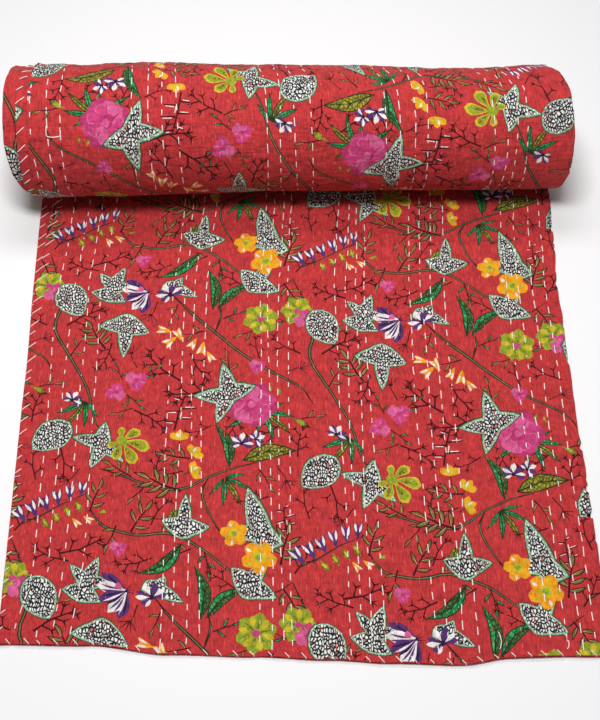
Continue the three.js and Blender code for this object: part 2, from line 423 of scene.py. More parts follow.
def pansy():
    shapes = []
    for turn, ink, long, wide in PANSY_PETALS:
        shapes += placed([(ink, blade(wide, 0.05, 0.62, 6))], 0.45, long, turn)
    shapes += fan("plum", 0.45, np.array([0.035j, -0.035j, 0.4]), (-66, -18, 24, 84))
    return shapes + [("plum", 0.43 + wavy(0.09, 3, 0.3, 0, 6))]


add_motifs(magnolia=magnolia(), pansy=pansy())

# %% [markdown]
# ## Twigs
#
# Thin dark twigs fill the ground between the flowers. A fractal could grow them, but the print has
# only a few kinds and repeats them, so five are drawn. Some have straight arms like the rungs of a
# ladder, with a white line beside them, as when a second screen is laid slightly off the first.

# %% Twigs
# half the spread of a tuft, and the turns of a brush's bristles, in degrees
TUFT_SPREAD = 48
BRISTLES = (-56, -28, 0, 28, 56)
# a ladder's arms: place on the stem, turn and length
LADDER_ARMS = ((0.24, 98, 0.3), (0.34, -80, 0.36), (0.54, 102, 0.34), (0.62, -76, 0.38),
               (0.86, 84, 0.26), (0.94, -70, 0.22))


def tuft(foot, way, strokes):
    """A few short pointed strokes that fan out from the end of a branch."""
    stroke = np.array([-0.028j, 0.19, 0.028j])
    turns = np.linspace(-TUFT_SPREAD, TUFT_SPREAD, strokes)
    return [("soot", foot + way * heading(turn) * stroke) for turn in turns]


def twig(forks, lean):
    shapes = [("soot", ribbon([0, 0.5 + 0.06j * lean, 1], 0.052, 0.032))]
    for n in range(forks):
        at = 0.22 + 0.68 * n / (forks - 1)
        side = lean if n % 2 else -lean
        root = at + 0.06j * lean * np.sin(np.pi * at)
        way = heading(side * (58 - 16 * at))
        long = 0.34 - 0.12 * at
        shapes.append(("soot", root + way * ribbon([0, long], 0.044, 0.032)))
        shapes += tuft(root + way * long * 0.9, way, 2 + n % 2)
    return shapes + tuft(1, 1, 3)


def brush():
    stem = ribbon([0, 0.5 + 0.05j, 0.66], 0.04, 0.03)
    return [("soot", stem)] + fan("soot", 0.6, ribbon([0, 0.38], 0.04, 0.022), BRISTLES)


def ladder():
    shapes = []
    for at, turn, long in LADDER_ARMS:
        beside = ribbon([0.1 + 0.035j, 0.85 * long + 0.035j], 0.026, 0.016)
        arm = ribbon([0, long], 0.05, 0.024)
        shapes += placed([("chalk", beside), ("soot", arm)], at, 1, turn)
    shapes.append(("chalk", ribbon([0.36 - 0.045j, 0.54 - 0.04j], 0.026, 0.026)))
    return shapes + [("soot", ribbon([0, 0.5 + 0.03j, 1], 0.05, 0.034))]


add_motifs(
    twig=twig(5, 1),
    back_twig=twig(4, -1),
    fork=twig(3, 1),
    brush=brush(),
    ladder=ladder(),
)

# %% [markdown]
# ## The repeat
#
# The print repeats about every 362 mm across and 460 mm along, and each column of the repeat
# drops 46 mm against its neighbour. Motifs could be scattered at random, but then nothing would
# come back, as it does in printed cloth. So the chart gives one repeat, in millimetres of an
# upright 381 by 457 mm panel: x, y of the middle, length, and turn in degrees. The kinds are
# painted in the chart's order: twigs and sprigs first, then green leaves, flowers, white leaves, and
# last the flowers that lie over these.

# %% Chart of the repeat
PANEL = (381.0, 457.2)
REPEAT_ACROSS = 362 - 46j
REPEAT_ALONG = 8 + 460j
REPEAT_START = -759 + 228j

VINES = [
    (5.2, [(2, 372), (22, 332), (34, 286), (28, 244), (58, 196), (86, 150), (100, 104), (112, 86)]),
    (4.6, [(104, 430), (114, 415), (130, 403), (170, 402), (214, 414), (258, 400), (304, 372), (352, 352),
           (384, 372)]),
    (5.0, [(196, 330), (226, 300), (268, 268), (312, 236), (352, 214), (396, 196), (414, 172)]),
    (4.4, [(112, 30), (150, 24), (196, 18), (232, 22), (268, 44), (304, 62), (338, 74)]),
    (3.4, [(268, 268), (276, 296), (272, 316)]),
    (3.6, [(268, 44), (258, 20), (272, -14), (300, -50)]),
]

CHART = {
    "twig": [(60, 356, 46, 160), (172, 366, 44, 200), (70, 268, 54, 30), (196, 200, 60, 140),
             (178, 118, 48, 330), (236, 168, 56, 190), (196, 52, 40, 80), (348, 122, 50, 210),
             (300, 128, 44, 250), (14, 112, 44, 80), (108, 208, 44, 250)],
    "back_twig": [(96, 372, 52, 20), (288, 360, 38, 150), (246, 210, 50, 300), (16, 404, 44, 60)],
    "fork": [(200, 440, 40, 60), (60, 34, 44, 280), (376, 258, 44, 150), (22, 22, 40, 100),
             (330, 20, 40, 190), (252, 112, 34, 200), (332, 249, 34, 100)],
    "brush": [(172, 290, 40, 250), (74, 12, 36, 230), (372, 56, 38, 300), (148, 212, 40, 110),
              (10, 224, 34, 20)],
    "ladder": [(222, 134, 56, 76), (374, 452, 40, 96)],
    "sprout": [(136, 390, 40, 250), (228, 388, 38, 200), (74, 292, 34, 20), (318, 274, 38, 200),
               (66, 220, 38, 60), (232, 262, 38, 190), (290, 222, 38, 100), (138, 122, 32, 200),
               (28, 150, 38, 10), (212, 42, 36, 190), (168, 4, 38, 230), (204, 292, 34, 250),
               (346, 50, 36, 300)],
    "sprig": [(112, 446, 46, 72), (176, 428, 50, 60), (382, 344, 46, 300), (216, 68, 44, 170),
              (140, 34, 42, 150)],
    "fern": [(374, 420, 56, 76), (92, 240, 54, 120), (200, 26, 60, 158)],
    "green_sprig": [(268, 378, 36, 280), (296, 300, 34, 20), (370, 300, 34, 160), (178, 192, 32, 40),
                    (130, 184, 28, 110), (156, 140, 32, 320)],
    "palm": [(362, 136, 54, 318), (72, 110, 52, 236), (300, 28, 50, 300)],
    "leaf": [(204, 376, 72, 218), (298, 332, 68, 38), (306, 140, 48, 230)],
    "back_leaf": [(257, 340, 72, 98), (284, 92, 68, 108)],
    "moss_leaf": [(214, 434, 40, 240), (352, 86, 76, 12)],
    "bud": [(122, 424, 14, 20), (352, 188, 12, 250), (364, 186, 12, 290), (12, 142, 24, 330)],
    "small_trumpet": [(192, 262, 22, 170), (202, 246, 24, 220), (214, 258, 22, 120), (250, 240, 24, 260),
                      (262, 228, 20, 300), (236, 246, 20, 240)],
    "trumpet_comb": [(60, 409, 94, 12)],
    "rosette": [(10, 318, 48, 0), (336, 298, 52, 20)],
    "posy": [(148, 378, 22, 30), (22, 306, 32, 80), (332, 220, 23, 20), (156, 174, 31, 30),
             (128, 150, 28, 200)],
    "peony": [(326, 160, 66, 0)],
    "ivy": [(236, 440, 68, 88), (134, 244, 78, 268), (335, 374, 74, 62)],
    "star": [(287, 172, 92, 196), (112, 66, 78, 262)],
    "maple": [(112, 330, 68, 70)],
    "spear": [(334, 452, 96, 104), (214, 334, 58, 330)],
    "pod": [(48, 296, 66, 300), (40, 72, 66, 222)],
    "spoon_flower": [(150, 72, 58, 330)],
    "magnolia": [(148, 314, 48, 208)],
    "marigold": [(304, 426, 34, 10), (338, 398, 43, 40)],
    "buttercup": [(222, 96, 27, 100), (244, 76, 27, 60), (244, 50, 27, 30)],
    "pansy": [(196, 326, 38, 120), (66, 132, 27, 60), (312, 100, 31, 80), (333, 108, 25, 20)],
}
print(sum(len(places) for places in CHART.values()), "motifs and", len(VINES), "vines in one repeat")

# %% [markdown]
# ## Printing the whole cloth
#
# The repeat is stamped over the cloth, which is cut without regard to the print. Where the print
# shows, on the upper layer in front, on the outside of the roll and in a strip at the roll's left end,
# every patch is kept. Inside the roll and underneath, it could be left out, but its larger patches
# can still be glimpsed from the ends. So these are kept, with fewer points, which saves most of the mesh.

# %% Where the print shows
SHOWN_IN_FRONT = 718.0
SHOWN_ON_ROLL = (740.0, 1400.0)
# the next turn sticks out at the roll's left end: how far in from the open edge, and how far along
SHOWN_AT_END = (45.0, 1900.0)
# how far the middle of a motif may lie outside the cloth
PRINT_MARGIN = 80.0


def shows(place):
    """Whether a place on the cloth can be seen from outside."""
    across, along = np.real(place), np.imag(place)
    on_roll = (along > SHOWN_ON_ROLL[0]) & (along < SHOWN_ON_ROLL[1])
    at_end = (across > HALF - SHOWN_AT_END[0]) & (along > SHOWN_ON_ROLL[0]) & (along < SHOWN_AT_END[1])
    return np.where(across < 0, along < SHOWN_IN_FRONT, on_roll | at_end)


def on_cloth(place):
    along = place.imag
    return abs(place.real) < HALF + PRINT_MARGIN and -PRINT_MARGIN < along < CLOTH_LENGTH + PRINT_MARGIN


print("the print shows to", SHOWN_IN_FRONT, "mm in front, and on the roll from", *SHOWN_ON_ROLL)

# %% One repeat
# widths of a vine and of its pale core from start to end, as shares of the charted width
VINE_TAPER = np.array([0.2, 0.9, 1.0, 0.85, 0.7, 0.2])
CORE_TAPER = np.array([0.1, 0.32, 0.36, 0.3, 0.24, 0.1])


def in_repeat(x, y):
    return REPEAT_START + x / PANEL[0] * REPEAT_ACROSS + y / PANEL[1] * REPEAT_ALONG


def smooth_path(points, steps=3):
    """A smooth line through a few points (a Catmull-Rom spline)."""
    p = np.concatenate([[2 * points[0] - points[1]], points, [2 * points[-1] - points[-2]]])
    t = np.arange(steps) / steps
    line = []
    for a, b, c, d in zip(p, p[1:], p[2:], p[3:]):
        line.append(0.5 * (2 * b + (c - a) * t + (2 * a - 5 * b + 4 * c - d) * t ** 2
                           + (3 * b - a - 3 * c + d) * t ** 3))
    return np.append(np.concatenate(line), points[-1])


def one_repeat():
    """Each motif of one repeat: (kind, its middle on the cloth, its shapes about that middle)."""
    for width, points in VINES:
        line = smooth_path(np.array([in_repeat(x, y) for x, y in points]))
        middle = line.mean()
        yield "vine", middle, [("bark", ribbon(line - middle, *(width * VINE_TAPER)))]
        yield "vine_core", middle, [("stem", ribbon(line[2:-2] - middle, *(width * CORE_TAPER)))]
    for kind, places in CHART.items():
        centred = [(ink, outline - 0.5) for ink, outline in MOTIFS[kind]]
        for x, y, size, turn in places:
            yield kind, in_repeat(x, y), placed(centred, 0, size, turn)


print(len(list(one_repeat())), "motifs and parts of vines in one repeat")

# %% Stamp the repeat
# columns and rows of repeats that can reach the cloth
COLUMNS = range(-1, 6)
ROWS = range(-2, 6)
FINE_KINDS = ("twig", "back_twig", "fork", "brush", "ladder", "sprout", "sprig", "fern", "green_sprig",
              "bud", "small_trumpet", "vine", "vine_core")
# hidden patches: the smallest that is kept, as width plus height, and how many points are few enough
SMALLEST_HIDDEN = 70.0
FEW_POINTS = 10


def coarse(shapes):
    """The larger of some shapes, with fewer points."""
    for ink, outline in shapes:
        if np.ptp(outline.real) + np.ptp(outline.imag) >= SMALLEST_HIDDEN:
            yield ink, outline[::2] if len(outline) > FEW_POINTS else outline


def stamped():
    """Every patch of ink on the cloth, in painting order."""
    patches = []
    for kind, middle, shapes in one_repeat():
        for column in COLUMNS:
            for row in ROWS:
                place = middle + column * REPEAT_ACROSS + row * REPEAT_ALONG
                if not on_cloth(place) or (kind in FINE_KINDS and not shows(place)):
                    continue
                kept = shapes if shows(place) else coarse(shapes)
                patches += [(ink, place + outline) for ink, outline in kept]
    return patches


patches = stamped()
print(len(patches), "patches of ink,", sum(len(o) for _, o in patches), "outline points")

# %% [markdown]
# ## Rows of quilting
#
# White thread runs along the length in groups of rows, and red thread that hardly shows fills the
# gaps between the groups. The groups differ in the two layers. A row sits a steady distance in
# from the open edge, wanders a little, and pulls the cloth into a shallow channel. Between the
# stitches the cloth swells up again, which gives the quilt its ripple. The rows could be curves on
# the finished quilt, but mesh, relief and thread all need them, so they are numbers on the flat cloth.

# %% Stitch rows
# groups of white rows in the upper and the lower layer: first row's distance from the open edge, gap, rows
WHITE_GROUPS = [
    [(34, 21, 4), (200, 16, 4), (326, 13, 4), (436, 14, 4), (542, 17, 4), (684, 19, 4)],
    [(5, 19.5, 3), (144, 21, 4), (328, 21, 4), (496, 20, 4), (649, 15.5, 4)],
]
# red rows: where they may begin, how far apart they are, and the gap that is wide enough for one, in spacings
RED_START = 4.0
RED_SPACING = 17.0
RED_GAP = 1.6
# from stitch to stitch
WHITE_PITCH = 21.5
RED_PITCH = 17.0
# how far rows stray, and how the strays of the two layers differ
WHITE_STRAY = (1.5, 7)
RED_STRAY = (1.0, 3)
# the waves of a stray: share, length, and lag from row to row
SWAYS = [(1.0, 118, 2.1), (0.5, 41, 1.3)]
# how far the first white rows drift at the near end, and over what length
DRIFT = (17.0, 10.0, 8.0, 8.0)
DRIFT_LENGTH = 62.0
# how each row's stitches lag behind the row before, in radians of the pitch
WHITE_LAG = 2.4
RED_LAG = 1.1


def dip(away, shape):
    """A soft bump of some (height, width), at a distance from its middle."""
    return shape[0] * np.exp(-(away / shape[1]) ** 2)


def rows_between(rows):
    """Red rows at an even spacing in the gaps between white rows."""
    between = []
    for before, after in zip([RED_START] + rows, rows):
        count = round((after - before) / RED_SPACING) - 1
        if after - before > RED_GAP * RED_SPACING:
            between += [before + (after - before) * (n + 1) / (count + 1) for n in range(count)]
    return between


def wander(row, along, layer, stray):
    """How far a row, given by its number, strays from its line.

    The first white rows of the upper layer drift outwards at the near end.
    """
    drift = DRIFT[row] if layer == 0 and stray is WHITE_STRAY and row < len(DRIFT) else 0.0
    row = row + stray[1] * layer
    waves = sum(share * np.sin(along / length + lag * row) for share, length, lag in SWAYS)
    return stray[0] * waves - dip(along, (drift, DRIFT_LENGTH))


white_rows = [[at + n * gap for at, gap, count in groups for n in range(count)] for groups in WHITE_GROUPS]
red_rows = [rows_between(rows) for rows in white_rows]
for name, white, red in zip(("upper", "lower"), white_rows, red_rows):
    print(name, "layer:", len(white), "white rows and", len(red), "red rows")

# %% [markdown]
# ## Cutting the print into the cloth
#
# The print could be an image or a pattern in the shader. Here the inks are part of the mesh, so their
# edges stay crisp at any distance and no picture is needed. A constrained Delaunay triangulation lays
# all outlines over each other and reports which patches cover each triangle; the last painted wins.
# Edges that end up between two triangles of one ink are of no use, so a second triangulation keeps
# only the edges where the ink changes, and adds points for the folds and the quilting to bend: where
# the cloth shows, they follow the stitch rows and the swells between them, and elsewhere a wide grid.

# %% First cut: lay the patches over each other
# points closer than this, in millimetres, become one
MERGE = 1e-4


def counter_clockwise(outline):
    after = np.roll(outline, -1)
    area = np.sum(outline.real * after.imag - outline.imag * after.real)
    return outline if area > 0 else outline[::-1]


def triangulated(places, edges, loops):
    """A constrained triangulation: its places, its triangles, and the loops that cover each triangle."""
    vectors = [Vector((place.real, place.imag)) for place in places]
    made = delaunay_2d_cdt(vectors, edges, loops, 0, MERGE, True)
    return np.array([v.x + 1j * v.y for v in made[0]]), np.array(made[2]), made[5]


sheet_corners = np.array([-HALF, HALF, HALF + 1j * CLOTH_LENGTH, -HALF + 1j * CLOTH_LENGTH])
outlines = [sheet_corners] + [counter_clockwise(outline) for _, outline in patches]
starts = np.cumsum([0] + [len(outline) for outline in outlines])
loops = [list(range(a, b)) for a, b in zip(starts, starts[1:])]
INK_NAMES = ["red"] + sorted({ink for ink, _ in patches})
patch_ink = np.array([0] + [INK_NAMES.index(ink) for ink, _ in patches])

first_points, first_faces, covers = triangulated(np.concatenate(outlines), [], loops)
inside = [n for n, patches_over in enumerate(covers) if 0 in patches_over]
first_faces = first_faces[inside]
first_ink = np.array([patch_ink[max(covers[n])] for n in inside])
print("first cut:", len(first_points), "points,", len(first_faces), "triangles")

# %% Edges where the ink changes
sides = np.sort(np.concatenate([first_faces[:, [0, 1]], first_faces[:, [1, 2]], first_faces[:, [2, 0]]]), 1)
side_ink = np.tile(first_ink, 3)
order = np.lexsort((sides[:, 1], sides[:, 0]))
sides, side_ink = sides[order], side_ink[order]
twin = (sides[1:] == sides[:-1]).all(1)
has_twin = np.append(twin, False) | np.insert(twin, 0, False)
changes = np.append(twin & (side_ink[1:] != side_ink[:-1]), False)
ink_edges = sides[changes | ~has_twin]
kept, ink_edges = np.unique(ink_edges, return_inverse=True)
ink_edges = ink_edges.reshape(-1, 2)
edge_points = first_points[kept]
print(len(ink_edges), "edges between inks or round the cloth")

# %% Points for folds and quilting
# steps along the stitch rows, of the hidden grid, and along the fold, in millimetres
SHOWN_STEP = 8.0
GRID_HIDDEN = (42.0, 14.0)
FOLD_COLUMNS = (-6.0, -3.6, -1.2, 1.2, 3.6, 6.0)
FOLD_STEP = 12.0
# room round the fold and round the edges of the inks
FOLD_CLEAR = 9.0
GRID_CLEAR = 2.6


def even_steps(start, end, step):
    return np.linspace(start, end, round((end - start) / step) + 1)


def grid(across, along):
    return (across[None, :] + 1j * along[:, None]).ravel()


def hidden_grid():
    points = grid(even_steps(-HALF, HALF, GRID_HIDDEN[0]), even_steps(0, CLOTH_LENGTH, GRID_HIDDEN[1]))
    return points[~shows(points) & (abs(points.real) > FOLD_CLEAR)]


def row_grid():
    along = even_steps(0, CLOTH_LENGTH, SHOWN_STEP)
    lines = [0 * along]
    for layer, side in ((0, -1), (1, 1)):
        rows = [(at, row, WHITE_STRAY) for row, at in enumerate(white_rows[layer])]
        rows = sorted(rows + [(at, row, RED_STRAY) for row, at in enumerate(red_rows[layer])])
        on_row = [at + wander(row, along, layer, stray) for at, row, stray in rows]
        between = [(a + b) / 2 for a, b in zip([0 * along] + on_row, on_row)]
        lines += [side * (HALF - reach) for reach in [0 * along] + on_row + between]
    points = np.concatenate([across + 1j * along for across in lines])
    return points[shows(points) & (abs(points.real) > FOLD_CLEAR)]


fold_points = [across + 1j * even_steps(0, CLOTH_LENGTH, FOLD_STEP) for across in FOLD_COLUMNS]
grid_points = np.concatenate([row_grid(), hidden_grid(), *fold_points])
print(len(grid_points), "points for the cloth to bend at")

# %% Second cut: triangles of the printed face
def flat_point(place):
    """A place of the cloth as a point, for the search trees."""
    return place.real, place.imag, 0


def search_tree(places):
    tree = KDTree(len(places))
    for n, place in enumerate(places):
        tree.insert(flat_point(place), n)
    tree.balance()
    return tree


def ink_at(places):
    """The numbers of the inks that the first cut has at some places."""
    return np.array([first_ink[first_tree.find_nearest(flat_point(place))[2]] for place in places], int)


edge_tree = search_tree(edge_points)
clear = [edge_tree.find(flat_point(place))[2] > GRID_CLEAR for place in grid_points]
all_points = np.concatenate([edge_points, grid_points[clear]])

plan, plan_faces, _ = triangulated(all_points, ink_edges.tolist(), [])
first_tree = BVHTree.FromPolygons([flat_point(place) for place in first_points], first_faces.tolist())
plan_ink = ink_at(plan[plan_faces].mean(1))
print("second cut:", len(plan), "points,", len(plan_faces), "triangles")

# %% [markdown]
# ## Relief of the quilted face
#
# The relief is worked out on the flat cloth: channels along the rows, ripples between the
# stitches, slow waves, small puckers, a low ridge where the open edge is turned in, and creases set
# where the real quilt has them, as soft troughs and ridges in front of the roll, near the
# near end, and round the roll. One trough runs beside the outer edge at the roll's left end. A cloth
# simulation would crumple it too, but not where the real one is crumpled. Sums of waves and soft
# bumps can be placed one by one, and come out the same each time.

# %% Relief
# for each thread: rows, stray, pitch, lag, and height and width of its channels and ripples
SEWN = [
    (white_rows, WHITE_STRAY, WHITE_PITCH, WHITE_LAG, (1.0, 4.5), (0.75, 8.5)),
    (red_rows, RED_STRAY, RED_PITCH, RED_LAG, (0.6, 4.0), (0.42, 6.5)),
]
# slow waves: height, and the lengths of the two that are multiplied, along and across
WAVE = 0.75
WAVE_LENGTHS = (23, 61, 37, 90)
# puckers: height; then for two sets the length along, how far they sway and how often, and their breaks
PUCKER = 0.4
PUCKERS = [(9.5, 3, 45, 13, 57), (5.1, 2, 29, 8.3, 71)]
# height and width of the ridge at the open edge, and the x of that edge
HEM = (0.9, 5.0)
EDGE_X = -383.0
# layer (0 upper, 1 lower), middle x, middle along, half length, half width, turn in degrees, height
CREASES = [
    (0, 268, 55, 70, 7, 4, -2.6), (0, 250, 34, 60, 8, -3, 2.1), (0, 120, 30, 70, 9, 2, 1.7),
    (0, 330, 120, 60, 8, 6, -1.9), (0, -300, 330, 80, 9, -4, -1.6), (0, -120, 470, 90, 10, 3, 1.7),
    (0, 60, 300, 90, 9, -2, -1.6), (0, 300, 420, 70, 9, 5, -1.8), (0, -330, 90, 60, 8, 3, 1.7),
    (0, 180, 618, 70, 7, -3, 2.3), (0, 215, 600, 60, 6, -2, -2.0), (0, 250, 634, 50, 6, 4, 1.7),
    (0, -200, 640, 100, 10, 2, 1.6), (0, -40, 150, 80, 9, 4, -1.5), (0, 120, 520, 60, 8, -5, -1.5),
    (1, 340, 1035, 46, 7, 3, 2.4), (1, 330, 1060, 50, 9, 2, -1.8), (1, -300, 1250, 60, 10, 24, -1.8),
    (1, -180, 1290, 90, 9, 10, 1.6), (1, 60, 1300, 110, 8, -4, -1.6), (1, 190, 1290, 70, 8, -14, 1.8),
    (1, 235, 1268, 60, 7, -22, -2.0), (1, -40, 1120, 90, 12, 3, -1.0), (1, 150, 1090, 70, 12, -6, 1.0),
    (0, -365, 1140, 130, 5, 90, 1.6),
]


def stitched_down(reach, along, layer):
    """How far the rows of one layer pull the cloth down."""
    depth = np.zeros_like(reach)
    for rows, stray, pitch, lag, channel, ripple in SEWN:
        for row, at in enumerate(rows[layer]):
            away = reach - at - wander(row, along, layer, stray)
            beat = np.cos(2 * np.pi * along / pitch + lag * row)
            depth += dip(away, channel) + beat * dip(away, ripple)
    return depth


def relief(reach, along, layer):
    """Height of the printed face over its smooth shape. reach is the distance in from the open edge."""
    height = dip(reach, HEM)
    for side in (0, 1):
        here = layer == side
        height[here] -= stitched_down(reach[here], along[here], side)
    a, b, c, d = WAVE_LENGTHS
    height += WAVE * np.sin(along / a + reach / b + layer) * np.sin(reach / c - along / d)
    for a, sway, b, c, d in PUCKERS:
        height += PUCKER * np.sin(along / a + sway * np.sin(reach / b)) * np.sin(reach / c + along / d)
    for on_layer, x, y, long, wide, turn, high in CREASES:
        local = ((reach + EDGE_X - x) + 1j * (along - y)) * heading(-turn)
        height += (layer == on_layer) * high * np.exp(-(local.real / long) ** 2 - (local.imag / wide) ** 2)
    return height


print(len(CREASES), "creases,", sum(len(rows[0]) + len(rows[1]) for rows, *_ in SEWN), "sewn rows")

# %% [markdown]
# ## Folding and rolling
#
# `lay` takes points of the flat cloth and puts them where they lie. Across the cloth, the lower
# layer runs out to the fold, goes round it and comes back as the upper layer. Along the cloth,
# the first stretch lies flat, and the rest winds into the roll: from where it leaves the
# surface, up the far side, over the top, down the front, and in. The outer turns lie tight on each
# other, the inner ones are loose. Bend modifiers could roll a sheet, but with straight ends, and here
# each edge runs in its own way. The solid has the roll's outer form and main turns; the tables
# repeat its edges and add the finer dents and slants of the real roll.

# %% Tables of the folded shape
# length of cloth up to the roll's axis, and height of its two layers
FLAT_LENGTH = 762.0
FLAT_HEIGHT = 6.4
# y of the roll's axis, and how far its weight makes it sink
ROLL_AXIS_Y = 336.0
ROLL_SINK = 1.6
# x of the left and right ends of the roll, and of the flat stretch
ROLL_SPAN = (-410.0, 396.0)
FLAT_SPAN = (-385.0, 376.0)
# turns wound: radius, and thickness of the two layers together at the top of the turn
WINDING = [(0.0, 103.5, 6.9), (0.5, 100.0, 6.9), (1.0, 96.5, 6.9), (1.5, 93.0, 7.5), (2.0, 83.0, 10.0),
           (2.5, 69.0, 12.0), (3.0, 53.0, 12.0), (3.5, 37.0, 11.0), (4.0, 24.0, 10.0)]
# across: y of the near end
NEAR_END = [(0.0, -397), (0.15, -401), (0.28, -415), (0.42, -420.5), (0.54, -427), (0.64, -433),
            (0.755, -437.5), (0.83, -430.5), (0.9, -430), (1.0, -432)]
# across: fullness of the roll, and how far its axis strays
FULLNESS = [(0.0, 1.005, 3.0), (0.03, 1.0, 3.0), (0.055, 0.967, 3.0), (0.1, 0.965, 3.0),
            (0.135, 0.957, 3.4), (0.185, 0.968, 3.6), (0.26, 0.965, 3.9), (0.46, 0.928, 4.0),
            (0.62, 0.92, 1.0), (0.715, 0.903, 0.0), (0.767, 0.886, -1.2), (0.84, 0.897, -2.8),
            (0.95, 0.907, -2.2), (1.0, 0.907, -2.0)]
# station: open edge of the lower layer, of the upper layer, and the fold. Stations run from 0 at
# the near end to 1 under the roll's axis, and then by one for each turn of the roll
EDGES = [
    (0.0, -385, -384, 376), (0.16, -384, -383, 376), (0.42, -383, -382, 375.5),
    (0.56, -382, -381, 376.5), (0.7, -383.5, -380, 377.5), (0.83, -383.5, -371, 382.5),
    (0.92, -383.5, -366, 387), (1.0, -383.5, -364, 388), (1.2, -374, -372, 374), (1.33, -369.5, -379, 368),
    (1.41, -370, -382, 372), (1.46, -371, -385, 386), (1.52, -372, -388, 393), (1.6, -372, -388, 395.5),
    (1.75, -371, -388, 396), (1.8, -370, -387, 394), (1.86, -363, -384, 391), (1.93, -354, -379, 389),
    (2.0, -352, -376, 388), (2.2, -380, -388, 384), (2.33, -394, -393, 380), (2.42, -403, -395, 378),
    (2.5, -406, -398, 377), (2.64, -407, -399, 376), (2.72, -403, -397, 375), (2.78, -397, -392, 375),
    (2.84, -388, -386, 375), (2.92, -380, -380, 375), (3.0, -378, -378, 375), (3.25, -388, -390, 372),
    (3.5, -399, -402, 369), (4.0, -403, -397, 370),
]
print("stations of the edges:", len(EDGES))

# %% Winding
# fullness of the roll for measuring the cloth that is wound
MEAN_FULLNESS = 0.925
# the cloth lies slack on the roll's far side: at which turn, by what share, and over how much of a turn
SLACK_TURN = 0.25
SLACK = (0.25, 0.12)
WINDING_STEPS = 600


def eased(table, place, column=1):
    """One column of a table at a place along its first column, eased between rows."""
    keys = np.array([row[0] for row in table])
    values = np.array([row[column] for row in table], float)
    n = np.clip(np.searchsorted(keys, place) - 1, 0, len(keys) - 2)
    t = np.clip((place - keys[n]) / (keys[n + 1] - keys[n]), 0, 1)
    return values[n] + (values[n + 1] - values[n]) * t * t * (3 - 2 * t)


def wound_radius(turns):
    return np.interp(turns, [row[0] for row in WINDING], [row[1] for row in WINDING])


def spread(turns):
    """Thickness of the two layers together: pressed underneath, looser on top."""
    top = np.interp(turns, [row[0] for row in WINDING], [row[2] for row in WINDING])
    return FLAT_HEIGHT + (top - FLAT_HEIGHT) * (1 - np.cos(2 * np.pi * turns)) / 2


wound_turns = np.linspace(0, WINDING[-1][0], WINDING_STEPS)
wound_speed = 2 * np.pi * MEAN_FULLNESS * (wound_radius(wound_turns) - spread(wound_turns) / 2)
wound_speed *= 1 + dip(wound_turns - SLACK_TURN, SLACK)
wound_steps = (wound_speed[1:] + wound_speed[:-1]) / 2 * np.diff(wound_turns)
wound_length = np.concatenate([[0], np.cumsum(wound_steps)])
roll_turns = np.interp(CLOTH_LENGTH - FLAT_LENGTH, wound_length, wound_turns)
print("the roll winds", round(float(roll_turns), 2), "turns")

# %% The function that folds and rolls
# stations between which the roll comes to press the flat cloth, and how soon it lets go of the turns
PRESSED = (0.84, 0.95)
LETTING_GO = 4
# share of the relief that the flat lower layer keeps, pressed inwards
LOWER_RELIEF = 0.4
# up to this share of its height a turn rests on the turn below, with a little room
RESTING = 0.3
ROOM = 0.05
TINY = 1e-12
# where the plan's zero lies from the solid's right side and near end, in metres
PLAN_ZERO = (0.3997, 0.4305)
PLAN_SHIFT = Vector((high.x - PLAN_ZERO[0], low.y + PLAN_ZERO[1], 0))


def lay(place, depth):
    """Places of the flat cloth, at a depth under its printed face, as points in the room in metres."""
    across, along = np.real(place), np.imag(place)
    layer = (across > 0) * 1.0
    turns = np.interp(along - FLAT_LENGTH, wound_length, wound_turns)
    rolled = along > FLAT_LENGTH
    station = np.where(rolled, 1 + turns, along / FLAT_LENGTH)
    thick = np.where(rolled, spread(turns), FLAT_HEIGHT)
    bend = thick / 2
    round_fold = np.pi / 4 * thick
    left = np.where(layer > 0, eased(EDGES, station, 1), eased(EDGES, station, 2))
    fold = eased(EDGES, station, 3)
    reach = HALF - abs(across)
    share = np.minimum(reach / (HALF - round_fold), 1)
    angle = np.clip(across / round_fold, -1, 1) * np.pi / 2

    angle_round = 2 * np.pi * turns
    aloft = (1 - np.cos(angle_round)) / 2
    t = np.clip((station - PRESSED[0]) / (PRESSED[1] - PRESSED[0]), 0, 1)
    loose = np.where(rolled, np.clip(LETTING_GO * aloft, 0, 1), 1 - t * t * (3 - 2 * t))
    height = loose * relief(reach, along, layer)
    height = np.where((layer > 0) & ~rolled, -LOWER_RELIEF * abs(height), height)
    radius = bend - depth + height
    x = left + share * (fold - bend - left) + radius * np.cos(angle)
    level = bend - radius * np.sin(angle)

    flat_share = np.clip((x - FLAT_SPAN[0]) / (FLAT_SPAN[1] - FLAT_SPAN[0]), 0, 1)
    roll_share = np.clip((x - ROLL_SPAN[0]) / (ROLL_SPAN[1] - ROLL_SPAN[0]), 0, 1)
    scale = eased(FULLNESS, roll_share)
    axis_y = ROLL_AXIS_Y + eased(FULLNESS, roll_share, 2)
    near_y = eased(NEAR_END, flat_share)
    flat_y = near_y + (axis_y - near_y) * along / FLAT_LENGTH
    wound = wound_radius(turns)
    roll_y = axis_y + scale * (wound - level) * np.sin(angle_round)
    roll_z = scale * (wound + FLAT_HEIGHT * turns - ROLL_SINK - (wound - level) * np.cos(angle_round))
    lowest = (FLAT_HEIGHT + ROOM) * np.round(turns) + level
    roll_z = np.where(aloft < RESTING, np.maximum(roll_z, lowest), roll_z)
    y = np.where(rolled, roll_y, flat_y)
    z = np.where(rolled, roll_z, level)
    return np.stack([x, y, np.maximum(z, 0)], -1) * MM + np.array(PLAN_SHIFT)


